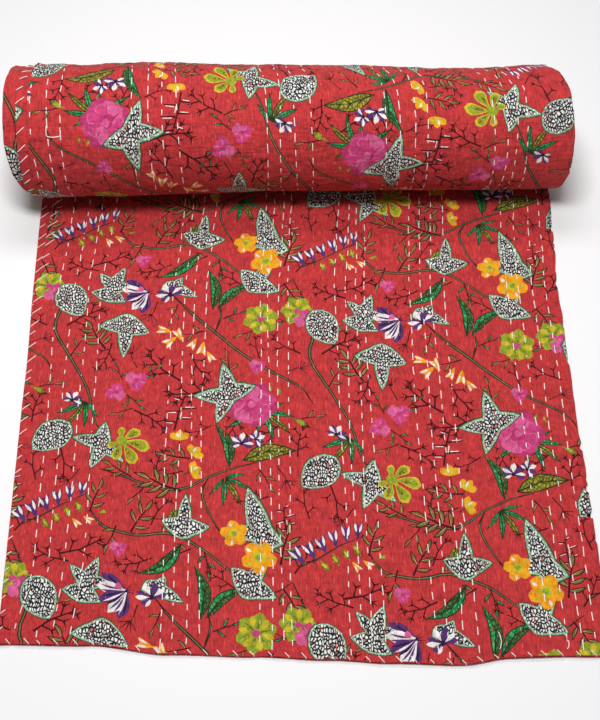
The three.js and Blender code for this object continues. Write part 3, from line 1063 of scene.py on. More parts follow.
def outward(place, depth, step=0.4):
    """Unit normals of the laid cloth, facing out of its printed side."""
    over = lay(place + step, depth) - lay(place - step, depth)
    ahead = lay(place + 1j * step, depth) - lay(place - 1j * step, depth)
    normal = np.cross(over, ahead)
    return normal / np.maximum(np.linalg.norm(normal, axis=1, keepdims=True), TINY)


print("the fold's near end lies at", lay(np.array([0j]), 0.0)[0].round(3).tolist())

# %% [markdown]
# ## The quilt's mesh
#
# The quilt is one closed sheet. A Solidify modifier could give it thickness, but it would double the
# fine mesh of the print. So the printed face comes from the second cut, and the face inside the fold,
# which hardly shows, from a wide grid, but for the strip that sticks out at the roll's left end, where
# the print has come through. A narrow rim with a rounded middle joins the two round the whole edge.
# The normals come from the laid shape itself and not from the triangles, so the shading stays smooth
# however the print divides the mesh.

# %% Edge loop and inner face
# how far the middle of the rim stands out, in millimetres
ROUNDING = 1.0
# steps of the inner face's grid, width of the strip that shows, and its own columns
INNER_GRID = (45.0, 14.0)
INNER_STRIP = 48.0
STRIP_REACH = (10.0, 18.0, 26.0)
# points this close to an edge are on it
SNAP = 1e-3

on_near = abs(plan.imag) < SNAP
on_far = abs(plan.imag - CLOTH_LENGTH) < SNAP
on_left = abs(plan.real + HALF) < SNAP
on_right = abs(plan.real - HALF) < SNAP
near_side = np.flatnonzero(on_near)
right_side = np.flatnonzero(on_right & ~on_near)
far_side = np.flatnonzero(on_far & ~on_right)
left_side = np.flatnonzero(on_left & ~on_far & ~on_near)
edge_loop = np.concatenate([
    near_side[np.argsort(plan[near_side].real)],
    right_side[np.argsort(plan[right_side].imag)],
    far_side[np.argsort(-plan[far_side].real)],
    left_side[np.argsort(-plan[left_side].imag)],
])
edge_plan = plan[edge_loop]
push = (on_right * 1.0 - on_left * 1.0 + 1j * on_far - 1j * on_near)[edge_loop]


def in_strip(place):
    """The strip of the upper layer's inner face that sticks out of the roll."""
    along = np.imag(place)
    return (np.real(place) < INNER_STRIP - HALF) & (along > SHOWN_ON_ROLL[0]) & (along < SHOWN_ON_ROLL[1])


inner_across = even_steps(-HALF, HALF, INNER_GRID[0])[1:-1]
inner_along = even_steps(0, CLOTH_LENGTH, INNER_GRID[1])[1:-1]
strip_along = inner_along[(inner_along > SHOWN_ON_ROLL[0]) & (inner_along < SHOWN_ON_ROLL[1])]
strip_across = np.array(STRIP_REACH) - HALF
inner_points = np.concatenate([
    grid(inner_across, inner_along),
    grid(strip_across, strip_along),
    1j * inner_along,
])
strip_edges = edge_points[ink_edges[in_strip(edge_points[ink_edges]).all(1)]]
strip_start = len(edge_plan) + len(inner_points)
strip_numbers = np.arange(strip_edges.size).reshape(-1, 2) + strip_start
inner_places = np.concatenate([edge_plan, inner_points, strip_edges.ravel()])
inner_plan, inner_faces, _ = triangulated(inner_places, strip_numbers.tolist(), [])
inner_middles = inner_plan[inner_faces].mean(1)
printed_through = in_strip(inner_middles)
inner_ink = np.zeros(len(inner_faces), int)
inner_ink[printed_through] = ink_at(inner_middles[printed_through])
print(len(edge_loop), "points round the edge,", len(inner_faces), "triangles on the inner face")

# %% Build the sheet
# how far out from the edge, in millimetres, the rim's normals aim
RIM_AIM = 3


def new_piece(name, points, faces):
    """A smooth mesh of triangles as an object of the scene."""
    mesh = bpy.data.meshes.new(name)
    mesh.from_pydata(points.tolist(), [], faces.tolist())
    mesh.polygons.foreach_set("use_smooth", np.ones(len(faces), bool))
    piece = bpy.data.objects.new(name, mesh)
    bpy.context.scene.collection.objects.link(piece)
    print(name + ":", len(points), "points,", len(faces), "triangles")
    return piece


rim_count = len(edge_loop)
rim_start, inner_start = len(plan), len(plan) + rim_count
points = np.concatenate([
    lay(plan, 0.0),
    lay(edge_plan + ROUNDING * push, THICKNESS / 2),
    lay(inner_plan, THICKNESS),
])
normals = np.concatenate([
    outward(plan, 0.0),
    np.zeros((rim_count, 3)),
    -outward(inner_plan, THICKNESS),
])
rim_way = lay(edge_plan + RIM_AIM * push, THICKNESS / 2) - lay(edge_plan, THICKNESS / 2)
normals[rim_start:inner_start] = rim_way / np.linalg.norm(rim_way, axis=1, keepdims=True)

inner_tree = search_tree(inner_plan)
inner_loop = np.array([inner_tree.find(flat_point(place))[1] for place in edge_plan]) + inner_start
rim_loop = np.arange(rim_count) + rim_start
following = np.roll(np.arange(rim_count), -1)
rim_quads = np.concatenate([
    np.stack([rim_loop, rim_loop[following], edge_loop[following], edge_loop], 1),
    np.stack([inner_loop, inner_loop[following], rim_loop[following], rim_loop], 1),
])
rim_faces = np.concatenate([rim_quads[:, [0, 1, 2]], rim_quads[:, [0, 2, 3]]])
faces = np.concatenate([plan_faces, rim_faces, inner_faces[:, ::-1] + inner_start])
face_ink = np.concatenate([plan_ink, np.zeros(len(rim_faces), int), inner_ink])

quilt = new_piece("quilt_sheet", points, faces)
quilt_mesh = quilt.data
quilt_mesh.normals_split_custom_set_from_vertices(normals.tolist())

# %% [markdown]
# ## What the material needs from the mesh
#
# Stored on the mesh are the ink of each triangle as a colour, masks for the crackled leaves, the
# veined leaves and the bare red ground, and the flat place of each corner as a UV map in metres,
# so that weave and crackle lie in the cloth and roll up with it. A second map spreads both faces
# side by side, for a texture bake. The colours could be materials of their own, but one material for
# all inks keeps the cloth the same under every ink.

# %% Inks on the mesh
def linear(red, green, blue):
    """A colour as a screen shows it, 0 to 255, as the linear values that shaders use."""
    shown = np.array([red, green, blue]) / 255
    return np.where(shown <= 0.04045, shown / 12.92, ((shown + 0.055) / 1.055) ** 2.4)


INKS = {
    "red": (188, 53, 55), "soot": (64, 12, 20), "bottle": (28, 48, 28), "leaf": (58, 172, 98),
    "olive": (134, 116, 58), "moss": (166, 154, 46), "lime": (156, 168, 44), "yellow": (198, 182, 46),
    "marigold": (236, 158, 28), "chalk": (232, 226, 222), "mint": (194, 224, 196), "fresh": (74, 138, 84),
    "crackle": (238, 238, 230), "rose": (198, 64, 121), "blush": (208, 90, 140), "petal": (214, 108, 154),
    "magenta": (180, 50, 102), "violet": (85, 48, 108), "plum": (44, 20, 58), "stem": (116, 112, 76),
    "bark": (42, 34, 24), "shade": (80, 116, 56), "tan": (182, 156, 100),
}
ink_colours = np.array([np.append(linear(*INKS[name]), 1) for name in INK_NAMES])
colour_layer = quilt_mesh.color_attributes.new("ink", "FLOAT_COLOR", "CORNER")
colour_layer.data.foreach_set("color", np.repeat(ink_colours[face_ink], 3, axis=0).ravel())
# how strongly each mask holds on the inks that have it
MASKS = {
    "crackle": {"crackle": 1.0, "mint": 0.5},
    "veins": {"leaf": 0.75, "shade": 0.9, "moss": 0.8, "olive": 0.35, "fresh": 0.3, "lime": 0.25},
    "ground": {"red": 1.0},
}
for mask, strengths in MASKS.items():
    layer = quilt_mesh.attributes.new(mask, "FLOAT", "FACE")
    layer.data.foreach_set("value", np.array([strengths.get(name, 0.0) for name in INK_NAMES])[face_ink])
print("inks:", ", ".join(INK_NAMES))

# %% Flat places on the mesh
# margin of the bake map; size of the inner face on it, and where it starts
BAKE_MARGIN = 8.0
INNER_SHARE = 0.45
INNER_CORNER = 0.69
# how far out the rim's middle and its inner side are spread on the bake map
RIM_OUT, RIM_FAR_OUT = 2, 4

flat_place = np.concatenate([plan, edge_plan + ROUNDING * push, inner_plan])
corner_place = flat_place[faces.ravel()]
cloth_map = quilt_mesh.uv_layers.new(name="cloth")
cloth_map.data.foreach_set("uv", np.stack([corner_place.real, corner_place.imag], 1).ravel() * MM)

spread_place = flat_place + HALF + BAKE_MARGIN * (1 + 1j)
spread_place[rim_start:inner_start] = edge_plan + RIM_OUT * push + HALF + BAKE_MARGIN * (1 + 1j)
bake_place = spread_place[faces.ravel()] / (CLOTH_LENGTH + 2 * BAKE_MARGIN)
inner_corner = np.repeat(np.arange(len(faces)) >= len(plan_faces) + len(rim_faces), 3)
lower_rim = np.zeros(len(faces), bool)
lower_rim[len(plan_faces):len(plan_faces) + len(rim_faces)] = (rim_faces >= inner_start).any(1)
rim_inner = np.repeat(lower_rim, 3) & (faces.ravel() >= inner_start)
edge_of_inner = {int(v): n for n, v in enumerate(inner_loop)}
far_out = np.array([edge_of_inner[int(v)] for v in faces.ravel()[rim_inner]], int)
far_edge = edge_plan[far_out] + RIM_FAR_OUT * push[far_out] + HALF + BAKE_MARGIN * (1 + 1j)
bake_place[rim_inner] = far_edge / (CLOTH_LENGTH + 2 * BAKE_MARGIN)
bake_place[inner_corner] = INNER_SHARE * bake_place[inner_corner] + INNER_CORNER
bake_map = quilt_mesh.uv_layers.new(name="OFBake")
bake_map.data.foreach_set("uv", np.stack([bake_place.real, bake_place.imag], 1).ravel())
print("bake map spans", round(bake_place.real.max(), 3), "by", round(bake_place.imag.max(), 3))

# %% [markdown]
# ## Cotton, thread and their node groups
#
# Three effects are node groups, so that each can be used more than once. They could be painted or
# scanned, but patterns that are worked out stay sharp close up. `cotton weave` gives the height of a
# plain weave and its slubs, the thick places of hand-spun yarn that run along the cloth. `hand dye`
# gives the uneven tone of a dyed or printed colour. `ink crackle` is a Voronoi pattern pulled into
# worms by a slow noise: its cell edges are the black lines of the white leaves, and, coarser, the
# feathery strokes of the green ones.

# %% Node helpers
def node(tree, kind, **values):
    """A node with its properties and inputs set by name. An input is set to a value or linked to a socket."""
    made = tree.nodes.new(kind)
    for name, value in values.items():
        if not name.startswith("in_"):
            setattr(made, name, value)
            continue
        socket = made.inputs[name[3:].replace("_", " ")]
        if isinstance(value, bpy.types.NodeSocket):
            tree.links.new(value, socket)
        else:
            socket.default_value = value
    return made


def math_node(tree, operation, first, second=None, kind="ShaderNodeMath"):
    made = node(tree, kind, operation=operation)
    for socket, value in zip(made.inputs, (first, second)):
        if isinstance(value, (int, float)):
            socket.default_value = value
        elif value is not None:
            tree.links.new(value, socket)
    return made.outputs[0]


def scaled(tree, vector, scale):
    return node(tree, "ShaderNodeMapping", in_Vector=vector, in_Scale=scale).outputs[0]


def noise(tree, vector, scale=1.0, detail=2.0):
    return node(tree, "ShaderNodeTexNoise", in_Vector=vector, in_Scale=scale, in_Detail=detail).outputs[0]


def ranged(tree, value, span):
    """A value from 0 to 1, spread over a span."""
    return node(tree, "ShaderNodeMapRange", in_Value=value, in_To_Min=span[0], in_To_Max=span[1]).outputs[0]


def new_group(name, inputs, outputs):
    """A node group, with the sockets that bring its inputs and take its outputs."""
    group = bpy.data.node_groups.new(name, "ShaderNodeTree")
    for socket, kind, value in inputs:
        made = group.interface.new_socket(socket, in_out="INPUT", socket_type=kind)
        if value is not None:
            made.default_value = value
    for socket, kind in outputs:
        group.interface.new_socket(socket, in_out="OUTPUT", socket_type=kind)
    source, sink = group.nodes.new("NodeGroupInput"), group.nodes.new("NodeGroupOutput")
    print("node group:", name)
    return group, source.outputs, sink.inputs

# %% Weave group
# in metres
THREAD_SPACING = 0.0007
HALF_TURN = 3.14159
# slubs along and across the cloth: how they are drawn out, and their share
SLUBS = [((640, 62, 1), 0.86), ((40, 420, 1), 0.14)]

weave, given, result = new_group(
    "cotton weave",
    [("Place", "NodeSocketVector", None), ("Thread", "NodeSocketFloat", THREAD_SPACING)],
    [("Height", "NodeSocketFloat"), ("Slub", "NodeSocketFloat")])
parts = node(weave, "ShaderNodeSeparateXYZ", in_Vector=given["Place"]).outputs
beat = math_node(weave, "DIVIDE", HALF_TURN, given["Thread"])
warp = math_node(weave, "SINE", math_node(weave, "MULTIPLY", parts["X"], beat))
weft = math_node(weave, "SINE", math_node(weave, "MULTIPLY", parts["Y"], beat))
over_under = math_node(weave, "ABSOLUTE", math_node(weave, "MULTIPLY", warp, weft))
slubs = []
for stretch, share in SLUBS:
    streaks = noise(weave, scaled(weave, given["Place"], stretch))
    slubs.append(math_node(weave, "MULTIPLY", streaks, share))
slub = math_node(weave, "ADD", *slubs)
weave.links.new(math_node(weave, "ADD", over_under, slub), result["Height"])
weave.links.new(slub, result["Slub"])

# %% Dye group
# size and detail of the clouds in a dyed colour, and how the smaller blots are drawn out
CLOUDS = (70.0, 4.0)
BLOTS = (240, 150, 1)
# the middle of a noise, and of the hue scale
MIDDLE = 0.5
HUE_SHIFT = 0.012

# on the thread the Slub input is the ply wave, so there it paints shade into the grooves of the twist
dye, given, result = new_group(
    "hand dye",
    [("Place", "NodeSocketVector", None), ("Colour", "NodeSocketColor", None),
     ("Slub", "NodeSocketFloat", MIDDLE), ("Slub strength", "NodeSocketFloat", 0.3),
     ("Wash", "NodeSocketFloat", 0.3)],
    [("Colour", "NodeSocketColor")])
cloudy = math_node(dye, "SUBTRACT", noise(dye, given["Place"], *CLOUDS), MIDDLE)
blot = math_node(dye, "SUBTRACT", noise(dye, scaled(dye, given["Place"], BLOTS)), MIDDLE)
wash = math_node(dye, "MULTIPLY", math_node(dye, "ADD", cloudy, blot), given["Wash"])
slub_tone = math_node(dye, "SUBTRACT", given["Slub"], MIDDLE)
streak = math_node(dye, "MULTIPLY", slub_tone, given["Slub strength"])
tone = math_node(dye, "ADD", math_node(dye, "ADD", wash, streak), 1.0)
hue = math_node(dye, "ADD", math_node(dye, "MULTIPLY", streak, HUE_SHIFT), MIDDLE)
dyed = node(dye, "ShaderNodeHueSaturation", in_Color=given["Colour"], in_Value=tone, in_Hue=hue)
dye.links.new(dyed.outputs[0], result["Colour"])

# %% Crackle group
# size of the slow noise against the cells, how far it pulls them, and how they are drawn out
SLOW = 0.22
PULL = 3.4
WORMS = (1.0, 0.62, 1.0)
# shares of the line's width at which it starts to fade, and is gone
FADE = (0.8, 1.3)

crackle, given, result = new_group(
    "ink crackle",
    [("Place", "NodeSocketVector", None), ("Size", "NodeSocketFloat", 0.004),
     ("Line", "NodeSocketFloat", 0.12)],
    [("Line", "NodeSocketFloat"), ("Cell", "NodeSocketFloat")])
in_cells = math_node(crackle, "DIVIDE", given["Place"], given["Size"], "ShaderNodeVectorMath")
slow = node(crackle, "ShaderNodeTexNoise", in_Vector=in_cells, in_Scale=SLOW, in_Detail=2.0).outputs["Color"]
pull = node(crackle, "ShaderNodeVectorMath", operation="SCALE", in_Vector=slow, in_Scale=PULL).outputs[0]
pulled = math_node(crackle, "ADD", in_cells, pull, "ShaderNodeVectorMath")
worms = scaled(crackle, pulled, WORMS)
edges, cells = [node(crackle, "ShaderNodeTexVoronoi", feature=feature, voronoi_dimensions="2D",
                     in_Vector=worms, in_Scale=1.0).outputs for feature in ("DISTANCE_TO_EDGE", "F1")]
full, gone = [math_node(crackle, "MULTIPLY", given["Line"], share) for share in FADE]
line = node(crackle, "ShaderNodeMapRange", in_Value=edges["Distance"], in_From_Min=full, in_From_Max=gone,
            in_To_Min=1.0, in_To_Max=0.0)
cell_tone = node(crackle, "ShaderNodeSeparateColor", in_Color=cells["Color"])
crackle.links.new(line.outputs[0], result["Line"])
crackle.links.new(cell_tone.outputs[0], result["Cell"])

# %% [markdown]
# ## The printed cotton
#
# The real cloth is a soft washed cotton, dull all over, with inks that are a little uneven. One plain
# colour for each ink would be simpler, but looks like plastic. So the ink's colour comes from the
# mesh, and the material paints three things over it: a few bare cells of the crackle, its black lines,
# and the strokes of the green leaves. The dye group then makes the colour uneven, with the strongest
# streaks on the bare ground, and weave and crumple give the cloth its surface.

# %% Printed cotton
# size of the cells in metres and width of the lines, as a share of a cell
CRACKLE = (0.0034, 0.205)
VEINS = (0.0042, 0.2)
# which cells are left bare, and how strongly these and the veins are painted
BARE_ABOVE = 0.93
BARE_STRENGTH = 0.8
VEIN_STRENGTH = 0.85
BARE_COLOUR, LINE_COLOUR, VEIN_COLOUR = (176, 84, 80), (26, 24, 34), (24, 46, 26)


def new_material(name, **values):
    """A material with its node tree and its shader, whose plain inputs are set by name."""
    material = bpy.data.materials.new(name)
    material.use_nodes = True
    shader = material.node_tree.nodes["Principled BSDF"]
    for socket, value in values.items():
        shader.inputs[socket.replace("_", " ")].default_value = value
    return material, material.node_tree, shader


def painted_over(under, colour, mask):
    """The colour under, with a plain colour painted over it where the mask is."""
    over = (*linear(*colour), 1)
    mix = node(tree, "ShaderNodeMix", data_type="RGBA", in_Factor=mask, in_A=under, in_B=over)
    return mix.outputs["Result"]


def crackled(size, line):
    made = node(tree, "ShaderNodeGroup", node_tree=crackle, in_Place=place, in_Size=size, in_Line=line)
    return made.outputs


cotton, tree, shader = new_material(
    "printed_cotton", Specular_IOR_Level=0.2, Sheen_Weight=0.06, Sheen_Roughness=0.5)
place = node(tree, "ShaderNodeUVMap", uv_map="cloth").outputs[0]
masks = {name: node(tree, "ShaderNodeAttribute", attribute_name=name).outputs["Fac"] for name in MASKS}
fine, strokes = crackled(*CRACKLE), crackled(*VEINS)
bare = math_node(tree, "GREATER_THAN", fine["Cell"], BARE_ABOVE)
bare = math_node(tree, "MULTIPLY", math_node(tree, "MULTIPLY", bare, masks["crackle"]), BARE_STRENGTH)
lines = math_node(tree, "MULTIPLY", fine["Line"], masks["crackle"])
feather = math_node(tree, "MULTIPLY", strokes["Line"], masks["veins"])
feather = math_node(tree, "MULTIPLY", feather, VEIN_STRENGTH)
colour = node(tree, "ShaderNodeVertexColor", layer_name="ink").outputs["Color"]
for over, mask in ((BARE_COLOUR, bare), (LINE_COLOUR, lines), (VEIN_COLOUR, feather)):
    colour = painted_over(colour, over, mask)
print("crackle cells of", CRACKLE[0], "m and veins of", VEINS[0], "m")

# %% Cotton surface
# strength of slubs and wash, on the inks and on the bare ground
SLUB_STRENGTH = (0.4, 1.4)
WASH_STRENGTH = (0.9, 0.8)
COTTON_ROUGHNESS = (0.78, 0.95)
# the fine crumple: how it is drawn out, and its height against the weave
CRUMPLE = (48, 185, 1)
CRUMPLE_HEIGHT = 15.0
# strength and depth in metres
COTTON_BUMP = (0.7, 0.00025)


def finish_surface(tree, shader, colour, rough, height, bump):
    """Links colour, roughness and a bump to the shader."""
    raised = node(tree, "ShaderNodeBump", in_Strength=bump[0], in_Distance=bump[1], in_Height=height)
    for socket, value in (("Base Color", colour), ("Roughness", rough), ("Normal", raised.outputs[0])):
        tree.links.new(value, shader.inputs[socket])


woven = node(tree, "ShaderNodeGroup", node_tree=weave, in_Place=place).outputs
slub_strength = ranged(tree, masks["ground"], SLUB_STRENGTH)
wash_strength = ranged(tree, masks["ground"], WASH_STRENGTH)
dyed = node(tree, "ShaderNodeGroup", node_tree=dye, in_Place=place, in_Colour=colour, in_Slub=woven["Slub"],
            in_Slub_strength=slub_strength, in_Wash=wash_strength).outputs["Colour"]
crumple = math_node(tree, "MULTIPLY", noise(tree, scaled(tree, place, CRUMPLE)), CRUMPLE_HEIGHT)
height = math_node(tree, "ADD", crumple, woven["Height"])
finish_surface(tree, shader, dyed, ranged(tree, woven["Slub"], COTTON_ROUGHNESS), height, COTTON_BUMP)
quilt_mesh.materials.append(cotton)
print("material:", cotton.name, "with", len(tree.nodes), "nodes")

# %% [markdown]
# ## Thread
#
# The thread is a thick twisted cotton. Its ply could be modelled, but a stitch is only a few pixels
# wide, so it is a fine slanting wave in the bump. The colour goes through the same dye as the cloth's,
# with that wave as its slub, so painted shade makes it a little darker in the grooves of the twist
# and lighter on its ridges.

# %% Thread materials
WHITE_COLOUR, WHITE_WASH = (248, 244, 238), 0.2
RED_COLOUR, RED_WASH = (226, 92, 74), 0.4
# waves of the ply in a metre, and how much they wobble
PLY, PLY_WOBBLE = 420.0, 1.5
THREAD_ROUGHNESS = (0.7, 0.9)
THREAD_BUMP = (0.5, 0.0002)


def thread_material(name, colour, wash):
    material, tree, shader = new_material(name, Specular_IOR_Level=0.25, Sheen_Weight=0.15)
    where = node(tree, "ShaderNodeTexCoord").outputs["Object"]
    ply = node(tree, "ShaderNodeTexWave", bands_direction="DIAGONAL", in_Vector=where, in_Scale=PLY,
               in_Distortion=PLY_WOBBLE).outputs["Fac"]
    # the ply wave also tones the colour: painted shade, darker in the grooves of the twist, lighter on its
    # ridges
    dyed = node(tree, "ShaderNodeGroup", node_tree=dye, in_Place=where, in_Slub=ply, in_Wash=wash,
                in_Colour=(*linear(*colour), 1)).outputs["Colour"]
    finish_surface(tree, shader, dyed, ranged(tree, ply, THREAD_ROUGHNESS), ply, THREAD_BUMP)
    return material


white_thread = thread_material("white_thread", WHITE_COLOUR, WHITE_WASH)
red_thread = thread_material("red_thread", RED_COLOUR, RED_WASH)
print("threads:", white_thread.name, red_thread.name)

# %% [markdown]
# ## Running stitches
#
# Each stitch comes up through the cloth, lies on it for about 12 mm and goes down again. It is a
# small tube whose ends dip under the printed face. Its points are given on the flat cloth
# with a depth, so `lay` puts them on the quilt, relief and all. Copies of one stitch could be scattered
# on the rows, but they would not bend with the cloth. Hand stitches are uneven, so length, place and
# slant vary, from a seeded generator. All stitches of one thread are one mesh.

# %% Stitch tubes
TUBE_SIDES = 5
END_TAPER = 0.55


def tubes(paths, depths, width, height):
    """Tubes along many paths: plan places and depths, each of shape (tubes, rings)."""
    count, rings = paths.shape
    ahead = np.gradient(paths, axis=1)
    side = 1j * ahead / np.maximum(abs(ahead), TINY)
    turn = np.arange(TUBE_SIDES) / TUBE_SIDES * 2 * np.pi
    taper = np.ones(rings)
    taper[[0, -1]] = END_TAPER
    wide = taper[None, :, None] * width / 2 * np.cos(turn)
    deep = taper[None, :, None] * height / 2 * np.sin(turn)
    places = paths[:, :, None] + side[:, :, None] * wide
    levels = depths[:, :, None] - deep
    return lay(places.ravel(), levels.ravel()), tube_faces(count, rings)


def tube_faces(count, rings):
    ring = np.arange(TUBE_SIDES)
    after = np.roll(ring, -1)
    bands = []
    for n in range(rings - 1):
        a, b = n * TUBE_SIDES, (n + 1) * TUBE_SIDES
        bands.append(np.stack([a + ring, b + ring, b + after, a + after], 1))
    one = np.concatenate(bands)
    one = np.concatenate([one[:, [0, 1, 2]], one[:, [0, 2, 3]]])
    fan_faces = np.stack([np.zeros(TUBE_SIDES - 2, int), ring[1:-1], ring[2:]], 1)
    one = np.concatenate([one, fan_faces, fan_faces[:, ::-1] + (rings - 1) * TUBE_SIDES])
    per_tube = rings * TUBE_SIDES
    return (one[None] + per_tube * np.arange(count)[:, None, None]).reshape(-1, 3)


def thread_piece(name, paths, depths, thread, material):
    """All stitches of one thread, given its (width, height), as one piece."""
    piece = new_piece(name, *tubes(paths, depths, *thread))
    piece.data.materials.append(material)
    return piece


print("a tube of five rings has", len(tube_faces(1, 5)), "triangles")

# %% Place the running stitches
# depth and place along of the five points of a stitch
STITCH_RISE = np.array([0.9, -0.15, -0.3, -0.15, 0.9])
STITCH_SHARE = np.array([-0.5, -0.36, 0.0, 0.36, 0.5])
# where stitches start, and where they end on the upper and the lower layer
FIRST_STITCH = 9.0
SHOWN_STITCHES = (812.0, 1480.0)
# how uneven they are: place in millimetres, length as a share, and slant
PLACE_SPREAD = 1.2
LENGTH_SPREAD = (0.66, 1.3)
SLANT_SPREAD = 0.035
# length of a stitch, and width and height of its thread
WHITE_LENGTH, WHITE_SIZE = 12.6, (1.4, 0.9)
RED_LENGTH, RED_SIZE = 8.0, (0.9, 0.7)
SEED = 21


def running_stitches(rows, pitch, length, stray, lag, random):
    """Paths and depths of all stitches of one thread. A stitch sits in a dip of the ripple."""
    paths = []
    for layer, side in ((0, -1), (1, 1)):
        for row, at in enumerate(rows[layer]):
            late = lag * row / (2 * np.pi) * pitch % pitch
            middle = np.arange(pitch - late, SHOWN_STITCHES[layer], pitch)
            middle = middle + random.normal(0, PLACE_SPREAD, len(middle))
            middle = middle[middle > FIRST_STITCH]
            long = length * random.uniform(*LENGTH_SPREAD, (len(middle), 1))
            slant = random.normal(0, SLANT_SPREAD, (len(middle), 1))
            along = middle[:, None] + long * STITCH_SHARE
            reach = at + wander(row, along, layer, stray) + slant * long * STITCH_SHARE
            paths.append(side * (HALF - reach) + 1j * along)
    paths = np.concatenate(paths)
    return paths, np.tile(STITCH_RISE, (len(paths), 1))


random = np.random.default_rng(SEED)
white_paths = running_stitches(white_rows, WHITE_PITCH, WHITE_LENGTH, WHITE_STRAY, WHITE_LAG, random)
red_paths = running_stitches(red_rows, RED_PITCH, RED_LENGTH, RED_STRAY, RED_LAG, random)
white_stitches = thread_piece("white_running_stitches", *white_paths, WHITE_SIZE, white_thread)
red_stitches = thread_piece("red_running_stitches", *red_paths, RED_SIZE, red_thread)

# %% [markdown]
# ## Whipped edges
#
# The edges are turned in and whipped: a slanting white stitch goes over them about every 20 mm. It
# could be painted on, but an edge is seen from the side as well. So each is a tube that starts on the
# printed face, runs to the edge, bends round the rim and ends on the inner face. They are short at the
# near end, and grow longer along the open edges towards the roll. On the roll those of the lower layer
# have sunk into the cloth, so their run ends there.

# %% Whip stitches
WHIP_PITCH = 20.0
# nine points of a stitch: distance in from the edge, depth, and lean along the edge
WHIP_IN = np.array([10.0, 9.0, 4.5, 0.6, -1.1, -0.6, 4.0, 9.0, 10.0])
WHIP_DEPTH = np.array([0.7, -0.1, -0.2, -0.2, THICKNESS / 2, THICKNESS + 0.2, THICKNESS + 0.2,
                       THICKNESS + 0.1, THICKNESS - 0.7])
WHIP_LEAN = np.array([-5.5, -5.0, -1.0, 3.0, 4.2, 4.4, 0.5, -4.5, -5.0])
# points less far in than this go round the rim, and keep their place in a larger stitch
WHIP_RIM = 2
WHIP_SIZE = (1.15, 0.9)
# how uneven they are: place in millimetres, and size as a share
WHIP_PLACE_SPREAD = 2.2
WHIP_SIZE_SPREAD = (0.7, 1.3)
# start and end of the stitches on the near end, and on the open edges of the two layers
NEAR_RUN = (4.0, HALF - 6)
EDGE_RUNS = {-1: (10.0, CLOTH_LENGTH - 12), 1: (10.0, FLAT_LENGTH)}
# their size along the edge: places, and shares
NEAR_SHARE = ([0], [0.6])
EDGE_SHARE = ([150, 350, 600, 760, 800], [0.5, 0.85, 1.15, 1.15, 1.0])


def whip(start, end, share, turn_at, random):
    """Whip stitches along an edge: (distance along it, distance in from it), each (stitches, rings).

    Up to turn_at they lean back, beyond it forwards.
    """
    count = int((end - start) / WHIP_PITCH)
    middle = start + (np.arange(count) + 0.5) * WHIP_PITCH + random.normal(0, WHIP_PLACE_SPREAD, count)
    size = random.uniform(*WHIP_SIZE_SPREAD, (count, 1)) * np.interp(middle, *share)[:, None]
    deep = np.where(WHIP_IN > WHIP_RIM, WHIP_IN * size, WHIP_IN)
    way = np.where(middle < turn_at, -1, 1)[:, None]
    return middle[:, None] + WHIP_LEAN * size * way, deep


whips = []
for side in (-1, 1):
    run, deep = whip(*NEAR_RUN, NEAR_SHARE, 0, random)
    whips.append(side * (HALF - run) + 1j * deep)
    run, deep = whip(*EDGE_RUNS[side], EDGE_SHARE, FLAT_LENGTH, random)
    whips.append(side * (HALF - deep) + 1j * run)
whips = np.concatenate(whips)
whip_depths = np.tile(WHIP_DEPTH, (len(whips), 1))
whip_stitches = thread_piece("whip_stitches", whips, whip_depths, WHIP_SIZE, white_thread)

# %% [markdown]
# ## Loose threads
#
# Where a length of thread ends, the hand goes over to the next row, and here and there a thread
# has come loose. Four of these show: a step between two rows near the roll's left end, two curls
# near the right end of the near edge, and a small one further up. They could be strewn by chance, but
# these have a place on the real quilt, so their points are given, as distance in from the open
# edge and distance along, in millimetres.

# %% Loose threads
LOOSE_THREADS = [
    (1, [(25, 1131), (25, 1140), (25.5, 1146), (34, 1147.5), (43.5, 1146), (44, 1141), (44, 1134)]),
    (0, [(700.5, 26), (703, 25), (705, 20.5), (705.5, 16), (705, 12), (703.5, 9), (702, 7.5)]),
    (0, [(619, 32), (620.5, 28), (621.5, 23), (621.8, 19), (621, 15), (620, 12), (619, 10)]),
    (0, [(584, 181), (586, 180.5), (587.3, 178.5), (587.6, 176), (587.3, 173.5), (586.5, 171.5),
         (585.5, 170)]),
]
# depth of the thread on the cloth, and of its ends under it
LOOSE_DEPTH, LOOSE_END = -0.35, 0.9
LOOSE_SIZE = (1.2, 0.9)

loose_paths = []
for layer, bends in LOOSE_THREADS:
    side = 1 if layer else -1
    bends = np.array([side * (HALF - reach) + 1j * along for reach, along in bends])
    loose_paths.append(smooth_path(bends))
loose_paths = np.array(loose_paths)
loose_depths = np.full(loose_paths.shape, LOOSE_DEPTH)
loose_depths[:, [0, -1]] = LOOSE_END
loose_threads = thread_piece("loose_threads", loose_paths, loose_depths, LOOSE_SIZE, white_thread)

# %% [markdown]
# ## The pieces on the body
#
# Everything rides on the one body, and the sheet stands for the quilt's solid, which is hidden.

# %% Ride and replace
threads = [white_stitches, red_stitches, whip_stitches, loose_threads]
for piece in [quilt, *threads]:
    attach(piece, "root")
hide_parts("quilt")
print("declared:", quilt.name, "with", len(threads), "pieces of thread on it")

# %% [markdown]
# ## Floor, light and camera
#
# The quilt lies on a plain pale floor under two soft lights. The main one is overhead, a little in
# front, and draws a short shadow under the roll. A weaker one behind lights the top of the roll and
# leaves the cloth in front of it a shade darker. Colours are shown as they are, without a film
# curve, so that the floor stays near white and the red stays clear. The camera looks down at 60
# degrees, a little from the left, as in the reference.

# %% Studio
FLOOR_REACH, FLOOR_LEVEL = 6, -0.0004
FLOOR_COLOUR, FLOOR_ROUGHNESS = (0.88, 0.875, 0.878, 1), 0.95
SKY_COLOUR, SKY_STRENGTH = (1.0, 0.995, 0.99, 1), 0.14
